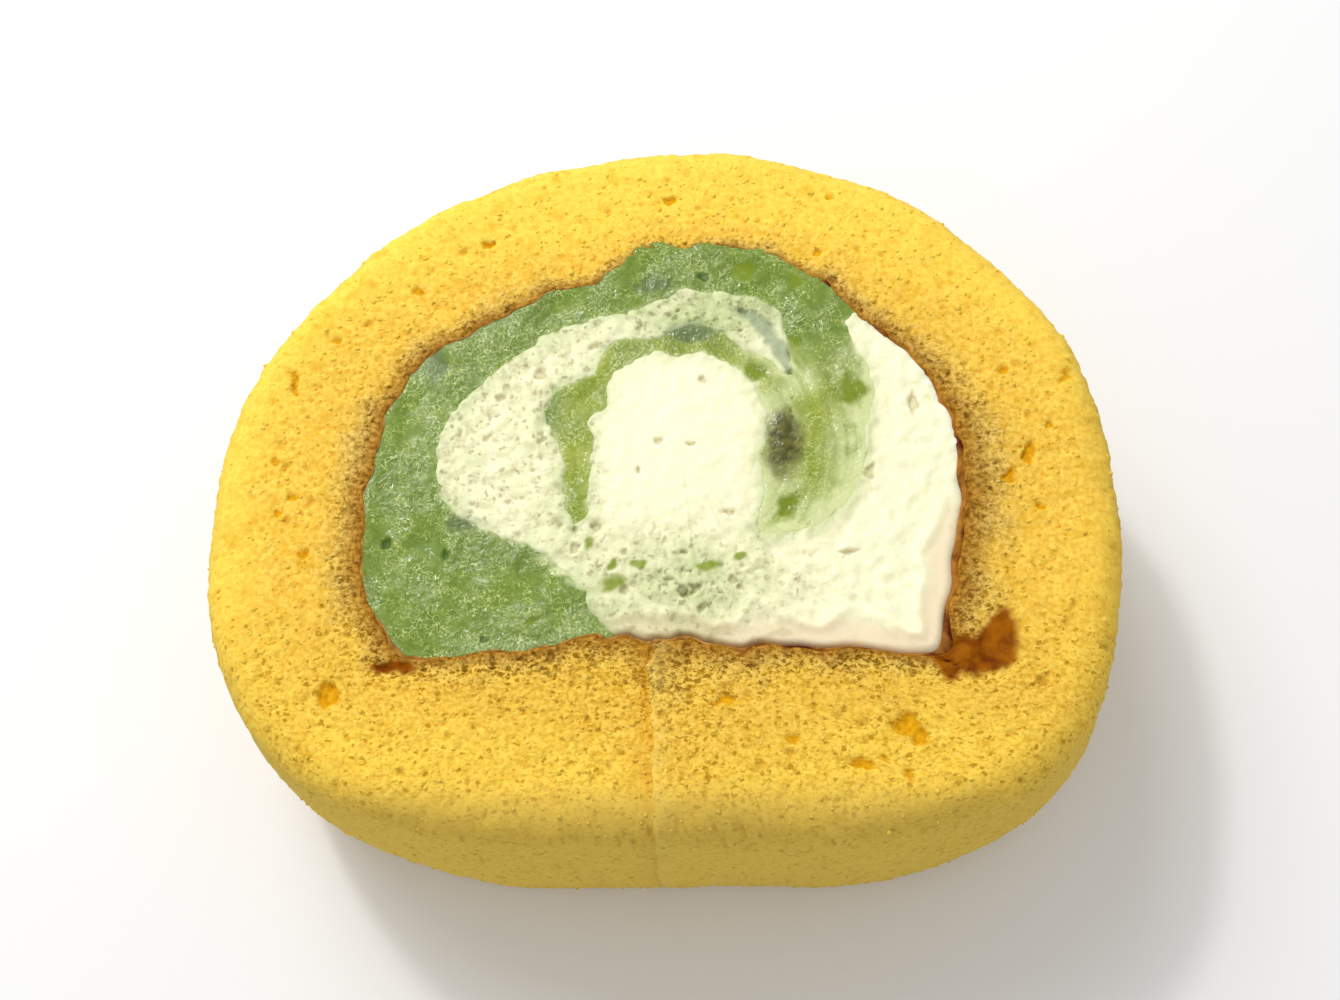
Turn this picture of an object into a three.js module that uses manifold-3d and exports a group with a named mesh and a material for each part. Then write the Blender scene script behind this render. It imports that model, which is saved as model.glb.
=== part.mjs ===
// A slice of swiss roll cake, lying on its lower cut with the swirl facing up.
//
// A strip of yellow sponge is bent into a D and its two ends meet in the middle of the flat side.
// The D is filled with whipped cream and a green fruit sauce, wound into each other as a swirl.
// Sponge, cream and sauce all run through the slice from cut to cut.
//
// Units are millimetres, +Z is up and the flat side of the D faces -Y.
// The origin is on the lower cut, under the middle of the slice.

import * as THREE from "three";
import { mergeVertices } from "three/addons/utils/BufferGeometryUtils.js";
import Module from "manifold-3d";

const wasm = await Module();
wasm.setup();

// Driving sizes of the slice
const WIDTH = 94;
const DEPTH = 78;
const THICKNESS = 33;
const DEEPEST_X = 0.65; // the D is deepest on this line
const WIDEST_Y = -1.4; // and widest on this one
const TOP_EDGE_ROUND = 4.2; // soft outer edge of the upper cut
const BASE_EDGE_ROUND = 1.4;
const INNER_EDGE_ROUND = 0.9;
const WALL_BULGE = 1.2; // how far the side wall swells below the upper cut
const CRUST_LUMPS = 0.3; // height of the slow lumps in the side wall
const SEAM_X = -0.9; // where the strip's two ends meet
const SEAM_HALF_ANGLE = 0.4; // degrees of slit on each side of the seam
const SEAM_STEP = 0.6; // the right end stands this much prouder
const SEAM_END_Y = -15; // the seam runs from the flat side to somewhere below this line

// The outline of the slice, a superellipse whose four quarters have powers of their own.
const CAKE = {
  x: DEEPEST_X,
  y: WIDEST_Y,
  left: WIDTH / 2 + DEEPEST_X,
  right: WIDTH / 2 - DEEPEST_X,
  up: DEPTH / 2 - WIDEST_Y,
  down: DEPTH / 2 + WIDEST_Y,
  powers: { upperLeft: 1.88, upperRight: 2, lowerLeft: 3, lowerRight: 3.3 },
};

// The filling is drawn round the swirl's middle, and the sponge round a point above the seam.
const SWIRL_MIDDLE = { x: 2, y: 2 };
const RING_MIDDLE = { x: SEAM_X, y: -4 };

// The space inside the sponge, as [angle in degrees, distance from the swirl's middle].
const FILLING_EDGE = [
  [-90, 19.7], [-75, 21.7], [-65, 22.9], [-55, 25.9], [-48, 28.7], [-44, 31.2], [-41, 32.6],
  [-37, 31.8], [-33, 30.8], [-25, 29.4], [-10, 28.1], [5, 27.1], [15, 25.9], [25, 24.6], [35, 23.2],
  [55, 23], [75, 22.7], [90, 21.9], [99, 22.4], [108, 20.6], [115, 20.2], [130, 21.8], [140, 22.9],
  [150, 25.2], [160, 28], [175, 29.8], [190, 31.5], [204, 33.7], [212, 34.2], [219, 33.5],
  [226, 29.5], [235, 25.4], [245, 21.8], [254, 20.3], [262, 20.4], [270, 19.7],
];

// Edges of the swirl, in the same way.
// Between the first and the last angle the sauce has cream on the far side of the edge.
const CENTRE_EDGE = [
  [-50, 11.4], [-28, 9.6], [-12, 8.2], [8, 8.5], [25, 9.4], [50, 10.3], [85, 10], [120, 10.2],
  [138, 9.5], [150, 8.5], [160, 9.6], [178, 9.1], [200, 9.6], [220, 11.9],
];
const INNER_BAND_EDGE = [
  [37, 13.3], [60, 12.4], [80, 13.6], [99, 12.7], [116, 13.4], [126, 13], [136, 12], [144, 12.6],
  [154, 14.1], [165, 13.8], [180, 11.6], [200, 11.9], [220, 13.6],
];
const CRESCENT_EDGE = [
  [37, 14.1], [47, 15.9], [57, 17.9], [72, 17.5], [87, 17.5], [98, 16.2], [116, 16.4], [136, 18],
  [155, 20.4], [173, 23.3], [184, 24.4], [193, 24], [205, 21], [217, 17.8], [226, 17.3], [237, 17.5],
  [245, 18.8], [251, 20.2],
];
const RIGHT_EDGE = [
  [-50, 12.9], [-38, 14.8], [-24, 17.4], [-9, 18.5], [2, 18.7], [14, 20.2], [22, 21.2], [30, 20.9],
  [38, 21.8],
];
const MEAN_REACH = 15; // the swirl's edges are about this far from its middle

const WALL_GAP = 0.3; // between the filling and the sponge
const SWIRL_GAP = 0.3; // between the cream and the sauce
const SHRINKAGE = { degrees: -12, width: 26, depth: 0.3 }; // the cream has left the sponge here
const CREAM_LEVEL = THICKNESS - 0.3;
const SAUCE_LEVEL = THICKNESS - 0.7;
const CREAM_DOME = { height: 0.5, width: 8 }; // the middle of the swirl stands a little higher
const ROLLED_EDGE = { degrees: -40, halfTurn: 80, fade: 25, width: 2.1, drop: 1.8 };
const SAUCE_EDGE = { width: 1.5, drop: 0.5 };
const OVERHANG = 3; // how far a cutter reaches past what it cuts

// Hollows in the upper cut: creases in the skin at the two lower corners, and large air holes
const HOLLOWS = [
  { x: 30.6, y: -18.2, wide: 3.2, deep: 1.9, depth: 1.5 },
  { x: -25.4, y: -20.4, wide: 2.4, deep: 1.1, depth: 2 },
  { x: 23, y: -26.8, wide: 1.6, deep: 1.6, depth: 1.1 },
  { x: -32, y: -23.5, wide: 1.1, deep: 1.6, depth: 0.9 },
  { x: -37.5, y: 9.5, wide: 1, deep: 2, depth: 0.8 },
];

const radians = THREE.MathUtils.degToRad;
const degreesOf = THREE.MathUtils.radToDeg;
const hump = (distance, width) => Math.exp(-((distance / width) ** 2));
const degreesFrom = (angle, other) => ((((angle - other + 180) % 360) + 360) % 360) - 180;

// The place at an angle and a distance from a middle.
function placeAt(middle, degrees, reach) {
  const turn = radians(degrees);
  return [middle.x + reach * Math.cos(turn), middle.y + reach * Math.sin(turn)];
}

// A smooth value at an angle from stations [angle, value], as a cubic through them.
function smoothThrough(stations, angle) {
  const last = stations.length - 1;
  const at = THREE.MathUtils.clamp(angle, stations[0][0], stations[last][0]);
  let i = 0;
  while (i < last - 1 && at > stations[i + 1][0]) i += 1;
  const slopeAt = (k) => {
    const before = stations[Math.max(k - 1, 0)];
    const after = stations[Math.min(k + 1, last)];
    return (after[1] - before[1]) / (after[0] - before[0]);
  };
  const [fromAngle, from] = stations[i];
  const [toAngle, to] = stations[i + 1];
  const span = toAngle - fromAngle;
  const t = (at - fromAngle) / span;
  return (
    from * (1 + 2 * t) * (1 - t) ** 2 +
    slopeAt(i) * span * t * (1 - t) ** 2 +
    to * t * t * (3 - 2 * t) +
    slopeAt(i + 1) * span * t * t * (t - 1)
  );
}

function isInCake(x, y) {
  const half = y < CAKE.y ? "lower" : "upper";
  const side = x < CAKE.x ? "Left" : "Right";
  const power = CAKE.powers[half + side];
  const across = Math.abs(x - CAKE.x) / (x < CAKE.x ? CAKE.left : CAKE.right);
  const over = Math.abs(y - CAKE.y) / (y < CAKE.y ? CAKE.down : CAKE.up);
  return across ** power + over ** power < 1;
}

// The skin round the filling is finely waved on top of its measured stations.
function fillingEdge(degrees) {
  const angle = radians(degrees);
  const wave = 0.14 * Math.sin(23 * angle + 1) + 0.1 * Math.sin(41 * angle + 4);
  return smoothThrough(FILLING_EDGE, degreesFrom(degrees, 90) + 90) + wave;
}

function isInFilling(x, y) {
  const fromX = x - SWIRL_MIDDLE.x;
  const fromY = y - SWIRL_MIDDLE.y;
  return Math.hypot(fromX, fromY) < fillingEdge(degreesOf(Math.atan2(fromY, fromX)));
}

// How far an outline is from a point inside it in one direction, found by halving.
function reachOf(isInside, middle, degrees) {
  const halvings = 30;
  let near = 0;
  let far = WIDTH;
  for (let i = 0; i < halvings; i += 1) {
    const between = (near + far) / 2;
    if (isInside(...placeAt(middle, degrees, between))) near = between;
    else far = between;
  }
  return near;
}

function cakeReach(degrees) {
  const angle = radians(degrees);
  const lumps = 0.6 * Math.sin(6 * angle + 1) + 0.4 * Math.sin(13 * angle + 2.5) - 1;
  return reachOf(isInCake, RING_MIDDLE, degrees) + CRUST_LUMPS * lumps;
}

// Height of the sponge's upper cut: a slow swell, the prouder end beside the seam, and hollows.
function spongeTop(x, y) {
  const swell = 0.25 * Math.sin(x / 4.3 + 1) * Math.cos(y / 5.1) + 0.15 * Math.sin(x / 1.9 + y / 2.3);
  const isBesideSeam = x > SEAM_X && y < SEAM_END_Y;
  const step = isBesideSeam ? SEAM_STEP * hump(x - SEAM_X, 12) : 0;
  const hollow = HOLLOWS.reduce(
    (sum, it) => sum + it.depth * hump(x - it.x, it.wide) * hump(y - it.y, it.deep),
    0,
  );
  return THICKNESS + swell + step - hollow;
}

// One section of the sponge strip as a loop of points: up the inner wall, over the upper cut,
// round the soft outer edge, down the bulging side and back along the lower cut.
function sectionOf(degrees) {
  const inner = reachOf(isInFilling, RING_MIDDLE, degrees) + WALL_GAP;
  const outer = cakeReach(degrees);
  const points = [];
  const add = (reach, z) => {
    const [x, y] = placeAt(RING_MIDDLE, degrees, reach);
    points.push([x, y, z]);
  };
  const addOnTop = (reach, drop) => {
    const [x, y] = placeAt(RING_MIDDLE, degrees, reach);
    points.push([x, y, spongeTop(x, y) - drop]);
  };

  add(inner, 0);
  add(inner, THICKNESS / 2);
  addOnTop(inner, INNER_EDGE_ROUND);

  const topStart = inner + INNER_EDGE_ROUND;
  const topEnd = outer - WALL_BULGE - TOP_EDGE_ROUND;
  const topSteps = 7;
  for (let i = 0; i <= topSteps; i += 1) {
    addOnTop(THREE.MathUtils.lerp(topStart, topEnd, i / topSteps), 0);
  }

  const roundSteps = 3;
  for (let i = 1; i <= roundSteps; i += 1) {
    const turn = (Math.PI / 2) * (i / roundSteps);
    addOnTop(topEnd + TOP_EDGE_ROUND * Math.sin(turn), TOP_EDGE_ROUND * (1 - Math.cos(turn)));
  }

  const wallTop = THICKNESS - TOP_EDGE_ROUND;
  const wallSteps = 4;
  for (let i = 1; i <= wallSteps; i += 1) {
    const z = THREE.MathUtils.lerp(wallTop, BASE_EDGE_ROUND, i / wallSteps);
    add(outer - WALL_BULGE * (1 - Math.sin((Math.PI * z) / THICKNESS)), z);
  }
  add(outer - WALL_BULGE - BASE_EDGE_ROUND, 0);
  return points;
}

function geometryFrom(positions, indices) {
  const geometry = new THREE.BufferGeometry();
  geometry.setAttribute("position", new THREE.Float32BufferAttribute(positions, 3));
  geometry.setIndex(indices);
  return geometry;
}

// The sponge strip: its section carried round the D from one side of the seam to the other.
function spongeGeometry() {
  const steps = 124;
  const start = 270 + SEAM_HALF_ANGLE;
  const turn = 360 - 2 * SEAM_HALF_ANGLE;
  const sections = Array.from({ length: steps + 1 }, (_, i) => sectionOf(start + (turn * i) / steps));
  const size = sections[0].length;
  const indices = [];
  for (let i = 0; i < steps; i += 1) {
    for (let k = 0; k < size; k += 1) {
      const a = i * size + k;
      const b = i * size + ((k + 1) % size);
      indices.push(a, b, a + size, b, b + size, a + size);
    }
  }
  // Each end of the strip is closed by triangles over its section.
  for (const [i, isTurned] of [[0, false], [steps, true]]) {
    const flat = sections[i].map(
      ([x, y, z]) => new THREE.Vector2(Math.hypot(x - RING_MIDDLE.x, y - RING_MIDDLE.y), z),
    );
    for (const face of THREE.ShapeUtils.triangulateShape(flat, [])) {
      const corners = face.map((k) => i * size + k);
      indices.push(...(isTurned ? corners.reverse() : corners));
    }
  }
  return geometryFrom(sections.flat(2), indices);
}

// Small ripples that the knife left in the soft filling.
function ripple(x, y) {
  return 0.22 * Math.sin(x / 2.1 + 0.4) * Math.cos(y / 2.6 + 1) + 0.12 * Math.sin(x / 1.1 - y / 1.4);
}

// Height of the cream: a low dome in the middle, and an uncut edge that rolls down at the lower
// right, where fromEdge is the distance from the filling's outline.
function creamTop(x, y, fromEdge, degrees) {
  const dome = CREAM_DOME.height * hump(Math.hypot(x - SWIRL_MIDDLE.x, y - SWIRL_MIDDLE.y), CREAM_DOME.width);
  const inside = ROLLED_EDGE.halfTurn - Math.abs(degreesFrom(degrees, ROLLED_EDGE.degrees));
  const rolled = THREE.MathUtils.smoothstep(inside, 0, ROLLED_EDGE.fade);
  const roll = Math.max(0, 1 - fromEdge / ROLLED_EDGE.width) ** 2;
  return CREAM_LEVEL + dome + ripple(x, y) - ROLLED_EDGE.drop * rolled * roll;
}

function sauceTop(x, y, fromEdge) {
  const edge = Math.max(0, 1 - fromEdge / SAUCE_EDGE.width) ** 2;
  return SAUCE_LEVEL + 1.4 * ripple(y, x) - SAUCE_EDGE.drop * edge;
}

// A solid disc with the filling's outline, a flat base and the given upper surface.
function fillingDisc(topAt) {
  const steps = 104;
  const rings = [0.2, 0.4, 0.58, 0.74, 0.86, 0.94, 0.98, 1]; // as shares of the reach
  const { x: middleX, y: middleY } = SWIRL_MIDDLE;
  const positions = [middleX, middleY, topAt(middleX, middleY, WIDTH, 0), middleX, middleY, 0];
  for (let i = 0; i < steps; i += 1) {
    const degrees = (360 * i) / steps;
    const shrunk = SHRINKAGE.depth * hump(degreesFrom(degrees, SHRINKAGE.degrees), SHRINKAGE.width);
    const reach = fillingEdge(degrees) - shrunk;
    for (const share of rings) {
      const [x, y] = placeAt(SWIRL_MIDDLE, degrees, share * reach);
      positions.push(x, y, topAt(x, y, reach * (1 - share), degrees));
    }
    positions.push(...placeAt(SWIRL_MIDDLE, degrees, reach), 0);
  }
  const size = rings.length + 1;
  const indices = [];
  for (let i = 0; i < steps; i += 1) {
    const a = 2 + i * size;
    const b = 2 + ((i + 1) % steps) * size;
    indices.push(0, a, b, 1, b + size - 1, a + size - 1);
    for (let k = 0; k < size - 1; k += 1) {
      indices.push(a + k, a + k + 1, b + k, b + k, a + k + 1, b + k + 1);
    }
  }
  return geometryFrom(positions, indices);
}

// The sauce's outline. On every border with the cream it gives way by gap.
function sauceOutline(gap) {
  const outline = new THREE.Shape();
  const points = [];
  const nip = degreesOf(gap / MEAN_REACH);
  const trace = (from, to, reachAt) => {
    const degreesPerStep = 3.5;
    const count = Math.max(1, Math.round(Math.abs(to - from) / degreesPerStep));
    for (let i = 0; i <= count; i += 1) {
      const degrees = THREE.MathUtils.lerp(from, to, i / count);
      points.push(new THREE.Vector2(...placeAt(SWIRL_MIDDLE, degrees, reachAt(degrees))));
    }
  };
  const outside = (degrees) => fillingEdge(degrees) + OVERHANG;
  const tail = CENTRE_EDGE[0][0];
  const rightTip = RIGHT_EDGE.at(-1)[0];
  const crescentTip = CRESCENT_EDGE[0][0];
  const crescentFoot = CRESCENT_EDGE.at(-1)[0];
  const bandEnd = INNER_BAND_EDGE.at(-1)[0];

  trace(rightTip + nip, crescentFoot - nip, outside);
  trace(crescentFoot - nip, crescentTip - nip, (a) => smoothThrough(CRESCENT_EDGE, a) + gap);
  trace(crescentTip - nip, bandEnd - nip, (a) => smoothThrough(INNER_BAND_EDGE, a) - gap);
  trace(bandEnd - nip, tail + nip, (a) => smoothThrough(CENTRE_EDGE, a) + gap);
  trace(tail + nip, rightTip + nip, (a) => smoothThrough(RIGHT_EDGE, a) - gap);
  return outline.setFromPoints(points);
}

// A closed mesh as a solid that can be cut.
function solidOf(geometry) {
  const bare = geometry.clone();
  bare.deleteAttribute("normal");
  bare.deleteAttribute("uv");
  const merged = mergeVertices(bare);
  return new wasm.Manifold(
    new wasm.Mesh({
      numProp: 3,
      vertProperties: new Float32Array(merged.attributes.position.array),
      triVerts: new Uint32Array(merged.index.array),
    }),
  );
}

function geometryOf(solid) {
  const { vertProperties, triVerts } = solid.getMesh();
  return geometryFrom(vertProperties, Array.from(triVerts));
}

// The sauce's outline as an upright prism that is taller than the slice.
function saucePrism(gap) {
  const prism = new THREE.ExtrudeGeometry(sauceOutline(gap), {
    depth: THICKNESS + 2 * OVERHANG,
    bevelEnabled: false,
  });
  prism.translate(0, 0, -OVERHANG);
  return solidOf(prism);
}

const creamGeometry = () =>
  geometryOf(solidOf(fillingDisc(creamTop)).subtract(saucePrism(-SWIRL_GAP / 2)));

const sauceGeometry = () =>
  geometryOf(solidOf(fillingDisc(sauceTop)).intersect(saucePrism(SWIRL_GAP / 2)));

function makeMesh(name, geometry, color, roughness) {
  const faceted = geometry.toNonIndexed();
  faceted.computeVertexNormals();
  const material = new THREE.MeshStandardMaterial({ color, roughness, metalness: 0 });
  const mesh = new THREE.Mesh(faceted, material);
  mesh.name = name;
  return mesh;
}

const slice = new THREE.Group();
slice.name = "swiss_roll_slice";
slice.add(makeMesh("sponge", spongeGeometry(), 0xf7cc52, 0.95));
slice.add(makeMesh("whipped_cream", creamGeometry(), 0xf8f5e2, 0.6));
slice.add(makeMesh("green_sauce", sauceGeometry(), 0x86ac6c, 0.25));

export default slice;
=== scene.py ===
# %% [markdown]
# # A slice of swiss roll cake
#
# The slice is three foods. A strip of yellow sponge is bent into a D with its baked skin inwards, and
# whipped cream and a green fruit sauce are wound into each other inside it. The slice lies on its lower
# cut, so we look down on the other cut, where the swirl shows.
#
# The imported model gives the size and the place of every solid. Here each solid is replaced by a fine
# surface worked out with numpy from the same named sizes, so nothing has to be fitted afterwards.

import bpy
import numpy as np
from mathutils import Matrix


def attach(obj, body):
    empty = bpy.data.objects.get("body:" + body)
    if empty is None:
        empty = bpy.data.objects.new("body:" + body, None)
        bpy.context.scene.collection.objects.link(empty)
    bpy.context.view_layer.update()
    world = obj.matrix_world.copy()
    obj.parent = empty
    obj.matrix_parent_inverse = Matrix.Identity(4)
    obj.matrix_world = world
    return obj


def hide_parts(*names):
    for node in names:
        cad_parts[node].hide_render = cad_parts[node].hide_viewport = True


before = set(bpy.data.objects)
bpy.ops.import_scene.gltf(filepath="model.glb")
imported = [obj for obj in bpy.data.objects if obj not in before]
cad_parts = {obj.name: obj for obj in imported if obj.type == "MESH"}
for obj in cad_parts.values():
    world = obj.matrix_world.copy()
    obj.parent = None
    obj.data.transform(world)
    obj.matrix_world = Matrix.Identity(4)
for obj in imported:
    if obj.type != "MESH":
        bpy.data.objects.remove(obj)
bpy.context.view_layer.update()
MM = 0.001

# %% [markdown]
# ## The outlines
#
# Seen from above, a roll that was pressed flat on one side is a D. It could be traced as a long list of
# points, but a superellipse whose four quarters have powers of their own says the same with ten
# numbers: a power of 2 is a round quarter, and a higher power is a squarer corner.
#
# The space inside the sponge isn't so regular. It follows a few measured stations, each an angle and a
# distance from the middle of the swirl.

# %% Driving sizes of the slice, in millimetres
WIDTH = 94.0
DEPTH = 78.0
THICKNESS = 33.0
DEEPEST_X = 0.65
WIDEST_Y = -1.4
TOP_EDGE_ROUND = 4.2
BASE_EDGE_ROUND = 1.4
INNER_EDGE_ROUND = 0.3
WALL_BULGE = 1.2
CRUST_LUMPS = 0.3
SEAM_X = -0.9
SEAM_STEP = 0.6
SEAM_END_Y = -15.0

CAKE = dict(x=DEEPEST_X, y=WIDEST_Y, left=WIDTH / 2 + DEEPEST_X, right=WIDTH / 2 - DEEPEST_X,
            up=DEPTH / 2 - WIDEST_Y, down=DEPTH / 2 + WIDEST_Y, powers=((3.0, 3.3), (1.88, 2.0)))
SWIRL_MIDDLE = (2.0, 2.0)
RING_MIDDLE = (SEAM_X, -4.0)
FILLING_EDGE = [  # degrees round the swirl's middle and mm from it
    (-90, 19.7), (-75, 21.7), (-65, 22.9), (-55, 25.9), (-48, 28.7), (-44, 31.2), (-41, 32.6), (-37, 31.8),
    (-33, 30.8), (-25, 29.4), (-10, 28.1), (5, 27.1), (15, 25.9), (25, 24.6), (35, 23.2), (55, 23),
    (75, 22.7), (90, 21.9), (99, 22.4), (108, 20.6), (115, 20.2), (130, 21.8), (140, 22.9), (150, 25.2),
    (160, 28), (175, 29.8), (190, 31.5), (204, 33.7), (212, 34.2), (219, 33.5), (226, 29.5), (235, 25.4),
    (245, 21.8), (254, 20.3), (262, 20.4), (270, 19.7),
]


# %% Hills, steps and patches
def hump(distance, width):
    """A smooth hill of height 1: e to the power of minus the square of distance over width."""
    return np.exp(-((distance / width) ** 2))


def smoothstep(value, low, high):
    """0 below low, 1 above high, and 3t^2 - 2t^3 between them."""
    t = np.clip((value - low) / (high - low), 0.0, 1.0)
    return t * t * (3.0 - 2.0 * t)


def patch(x, y, at_x, at_y, half_x, half_y):
    """A soft round patch: 1 at its middle, falling off over its two half-widths."""
    return hump(x - at_x, half_x) * hump(y - at_y, half_y)


# %% Angles and smooth curves
def degrees_from(angle, other):
    """The turn in degrees from one angle to another, from -180 to 180."""
    return (angle - other + 180.0) % 360.0 - 180.0


def place_at(middle, degrees, reach):
    """x and y of the place at an angle and a distance from a middle."""
    turn = np.radians(degrees)
    return middle[0] + reach * np.cos(turn), middle[1] + reach * np.sin(turn)


def smooth_through(stations, angle):
    """Cubic through stations of (angle, value), with each slope taken from the two neighbours."""
    at, value = np.array(stations, dtype=float).T
    before = np.maximum(np.arange(len(at)) - 1, 0)
    after = np.minimum(np.arange(len(at)) + 1, len(at) - 1)
    slope = (value[after] - value[before]) / (at[after] - at[before])
    angle = np.clip(angle, at[0], at[-1])
    i = np.clip(np.searchsorted(at, angle) - 1, 0, len(at) - 2)
    span = at[i + 1] - at[i]
    t = (angle - at[i]) / span
    return (value[i] * (1 + 2 * t) * (1 - t) ** 2 + slope[i] * span * t * (1 - t) ** 2
            + value[i + 1] * t * t * (3 - 2 * t) + slope[i + 1] * span * t * t * (t - 1))


# %% Reach of an outline
def is_in_cake(x, y):
    """Whether |x / half width|^p + |y / half depth|^p is below 1, with the sizes and p of the quarter."""
    is_right, is_upper = x >= CAKE["x"], y >= CAKE["y"]
    powers = np.array(CAKE["powers"])[is_upper.astype(int), is_right.astype(int)]
    across = np.abs(x - CAKE["x"]) / np.where(is_right, CAKE["right"], CAKE["left"])
    over = np.abs(y - CAKE["y"]) / np.where(is_upper, CAKE["up"], CAKE["down"])
    return across**powers + over**powers < 1


def filling_edge(degrees):
    """Distance in mm from the swirl's middle to the filling's outline, finely waved, at each angle."""
    angle = np.radians(degrees)
    wave = 0.14 * np.sin(23 * angle + 1) + 0.1 * np.sin(41 * angle + 4)
    return smooth_through(FILLING_EDGE, degrees_from(degrees, 90) + 90) + wave


def is_in_filling(x, y):
    """Whether a place is nearer to the swirl's middle than the filling's outline is at its angle."""
    from_x, from_y = x - SWIRL_MIDDLE[0], y - SWIRL_MIDDLE[1]
    return np.hypot(from_x, from_y) < filling_edge(np.degrees(np.arctan2(from_y, from_x)))


HALVINGS = 30  # leave an interval far below a thousandth of a millimetre


def ring_reach(is_inside, degrees):
    """Distance from the ring's middle to an outline at each angle, found by halving an interval."""
    near, far = np.zeros_like(degrees), np.full_like(degrees, WIDTH)
    for _ in range(HALVINGS):
        between = (near + far) / 2
        is_near = is_inside(*place_at(RING_MIDDLE, degrees, between))
        near, far = np.where(is_near, between, near), np.where(is_near, far, between)
    return near


def cake_reach(degrees):
    """Distance from the ring's middle to the outside of the slice, less two waves that make it lumpy."""
    angle = np.radians(degrees)
    lumps = 0.6 * np.sin(6 * angle + 1) + 0.4 * np.sin(13 * angle + 2.5) - 1
    return ring_reach(is_in_cake, degrees) + CRUST_LUMPS * lumps


quarters = np.arange(0.0, 360.0, 90.0)
print("sponge thickness at right, back, left, front:",
      np.round(cake_reach(quarters) - ring_reach(is_in_filling, quarters), 1))

# %% [markdown]
# ## Chance that repeats
#
# Crumb, bubbles and froth are irregular, so they need chance, and the same chance on every run. Both
# helpers cut space into cubes and give each cube a random number by its place. One blends the numbers of
# a cube's corners, which makes soft lumps. The other drops one round pit into each cube, which makes
# bubbles. Both work on all points at once.

# %% Soft lumps
RANDOM_TABLE = np.random.default_rng(7).random(65536)


def chance_at(corners, salt):
    """A random number from 0 to 1 for each row of whole numbers, the same for the same row and salt."""
    x, y, z = corners.T
    mixed = x * 73856093 ^ y * 19349663 ^ z * 83492791 ^ salt * 2654435761
    return RANDOM_TABLE[(mixed ^ mixed >> 13) & 65535]


def lumps_at(points, size, salt):
    """Soft noise from -1 to 1: each point blends the chance of its cube's eight corners by 3t^2 - 2t^3."""
    scaled = points / size
    corner = np.floor(scaled).astype(np.int64)
    part = scaled - corner
    ease = part * part * (3 - 2 * part)
    total = np.zeros(len(points))
    for step in np.ndindex(2, 2, 2):
        weight = np.prod(np.where(step, ease, 1 - ease), axis=1)
        total += weight * chance_at(corner + step, salt)
    return 2 * total - 1


# %% Pits, and points pushed about
def pits_at(points, cell, radius, share, salt):
    """Depth in mm of round pits, one at a random place in each cube of this cell size, in a share of cubes.

    A pit's floor is r (1 - (d / r)^2) deep at distance d from its middle, and r lies between the two
    radii, most often near the small one.
    """
    corner = np.floor(points / cell).astype(np.int64)
    deepest = np.zeros(len(points))
    for step in np.ndindex(3, 3, 3):
        cube = corner + np.array(step) - 1
        middle = np.stack([cube[:, k] + chance_at(cube, salt + k) for k in range(3)], axis=1) * cell
        r = radius[0] + (radius[1] - radius[0]) * chance_at(cube, salt + 3) ** 2
        away = ((points - middle) ** 2).sum(axis=1)
        pit = np.maximum(0, r * (1 - away / r**2)) * (chance_at(cube, salt + 4) < share)
        deepest = np.maximum(deepest, pit)
    return deepest


def warped(points, size, strength, salt):
    """Points pushed about by soft noise, so that round pits come out ragged."""
    push = np.stack([lumps_at(points, size, salt + k) for k in range(3)], axis=1)
    return points + strength * push


# %% Put a surface into Blender
def make_object(name, points, faces, attributes):
    """A smooth mesh object from points in mm, faces, and named fields with one number per point."""
    mesh = bpy.data.meshes.new(name)
    mesh.from_pydata((points * MM).tolist(), [], [list(face) for face in faces])
    for key, values in attributes.items():
        layer = mesh.attributes.new(key, "FLOAT", "POINT")
        layer.data.foreach_set("value", np.asarray(values, dtype=np.float32))
    mesh.polygons.foreach_set("use_smooth", np.ones(len(mesh.polygons), dtype=bool))
    mesh.update()
    made = bpy.data.objects.new(name, mesh)
    bpy.context.scene.collection.objects.link(made)
    corners = sum(len(p.vertices) - 2 for p in mesh.polygons)
    size = points.max(axis=0) - points.min(axis=0)
    print(f"{name}: {corners} triangles, {np.round(size, 1)} mm")
    return made


def grid_faces(rows, columns, wrap_rows, wrap_columns):
    """Four-cornered faces of a grid of points, closed on itself in either direction if asked."""
    row = np.arange(rows if wrap_rows else rows - 1)[:, None]
    column = np.arange(columns if wrap_columns else columns - 1)[None, :]
    next_row, next_column = (row + 1) % rows, (column + 1) % columns
    corners = [row * columns + column, row * columns + next_column,
               next_row * columns + next_column, next_row * columns + column]
    return np.stack(corners, axis=-1).reshape(-1, 4)


# %% [markdown]
# ## The baked skin
#
# The brown line between the sponge and the filling is the top of the baked sheet, which is rolled
# inwards. It is a ribbon under a millimetre thick that stands on edge all round the filling. Painting the
# line on the sponge would give it no edge of its own, so it is a piece of its own. Only where the sheet
# turned a sharp corner is it different: there the skin buckled and was pressed flat into the crumb, so
# those folds are hollows, a stain and creases in the sponge's own surface.

# %% Thickness of the skin round the ring
SKIN_THICKNESS = 0.22
FOLDS = [  # degrees round the ring, half-width in degrees, extra thickness in mm
    (-28.0, 4.0, 0.6), (213.5, 2.2, 0.6), (8.0, 16.0, 0.3), (-12.0, 9.0, 0.3),
]


def skin_thickness(degrees):
    """Thickness in mm: thin at the back and the left, thicker at the right, with a hump for every fold."""
    turn = np.radians(degrees)
    flutter = 0.12 * np.sin(23 * turn) + 0.1 * np.sin(41 * turn + 1) + 0.08 * np.sin(67 * turn + 2)
    thin_back = 0.2 * hump(degrees_from(degrees, 120), 75)
    folds = sum(extra * hump(degrees_from(degrees, at), half) for at, half, extra in FOLDS)
    return np.maximum(0.06, SKIN_THICKNESS + flutter - thin_back + folds)


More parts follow.
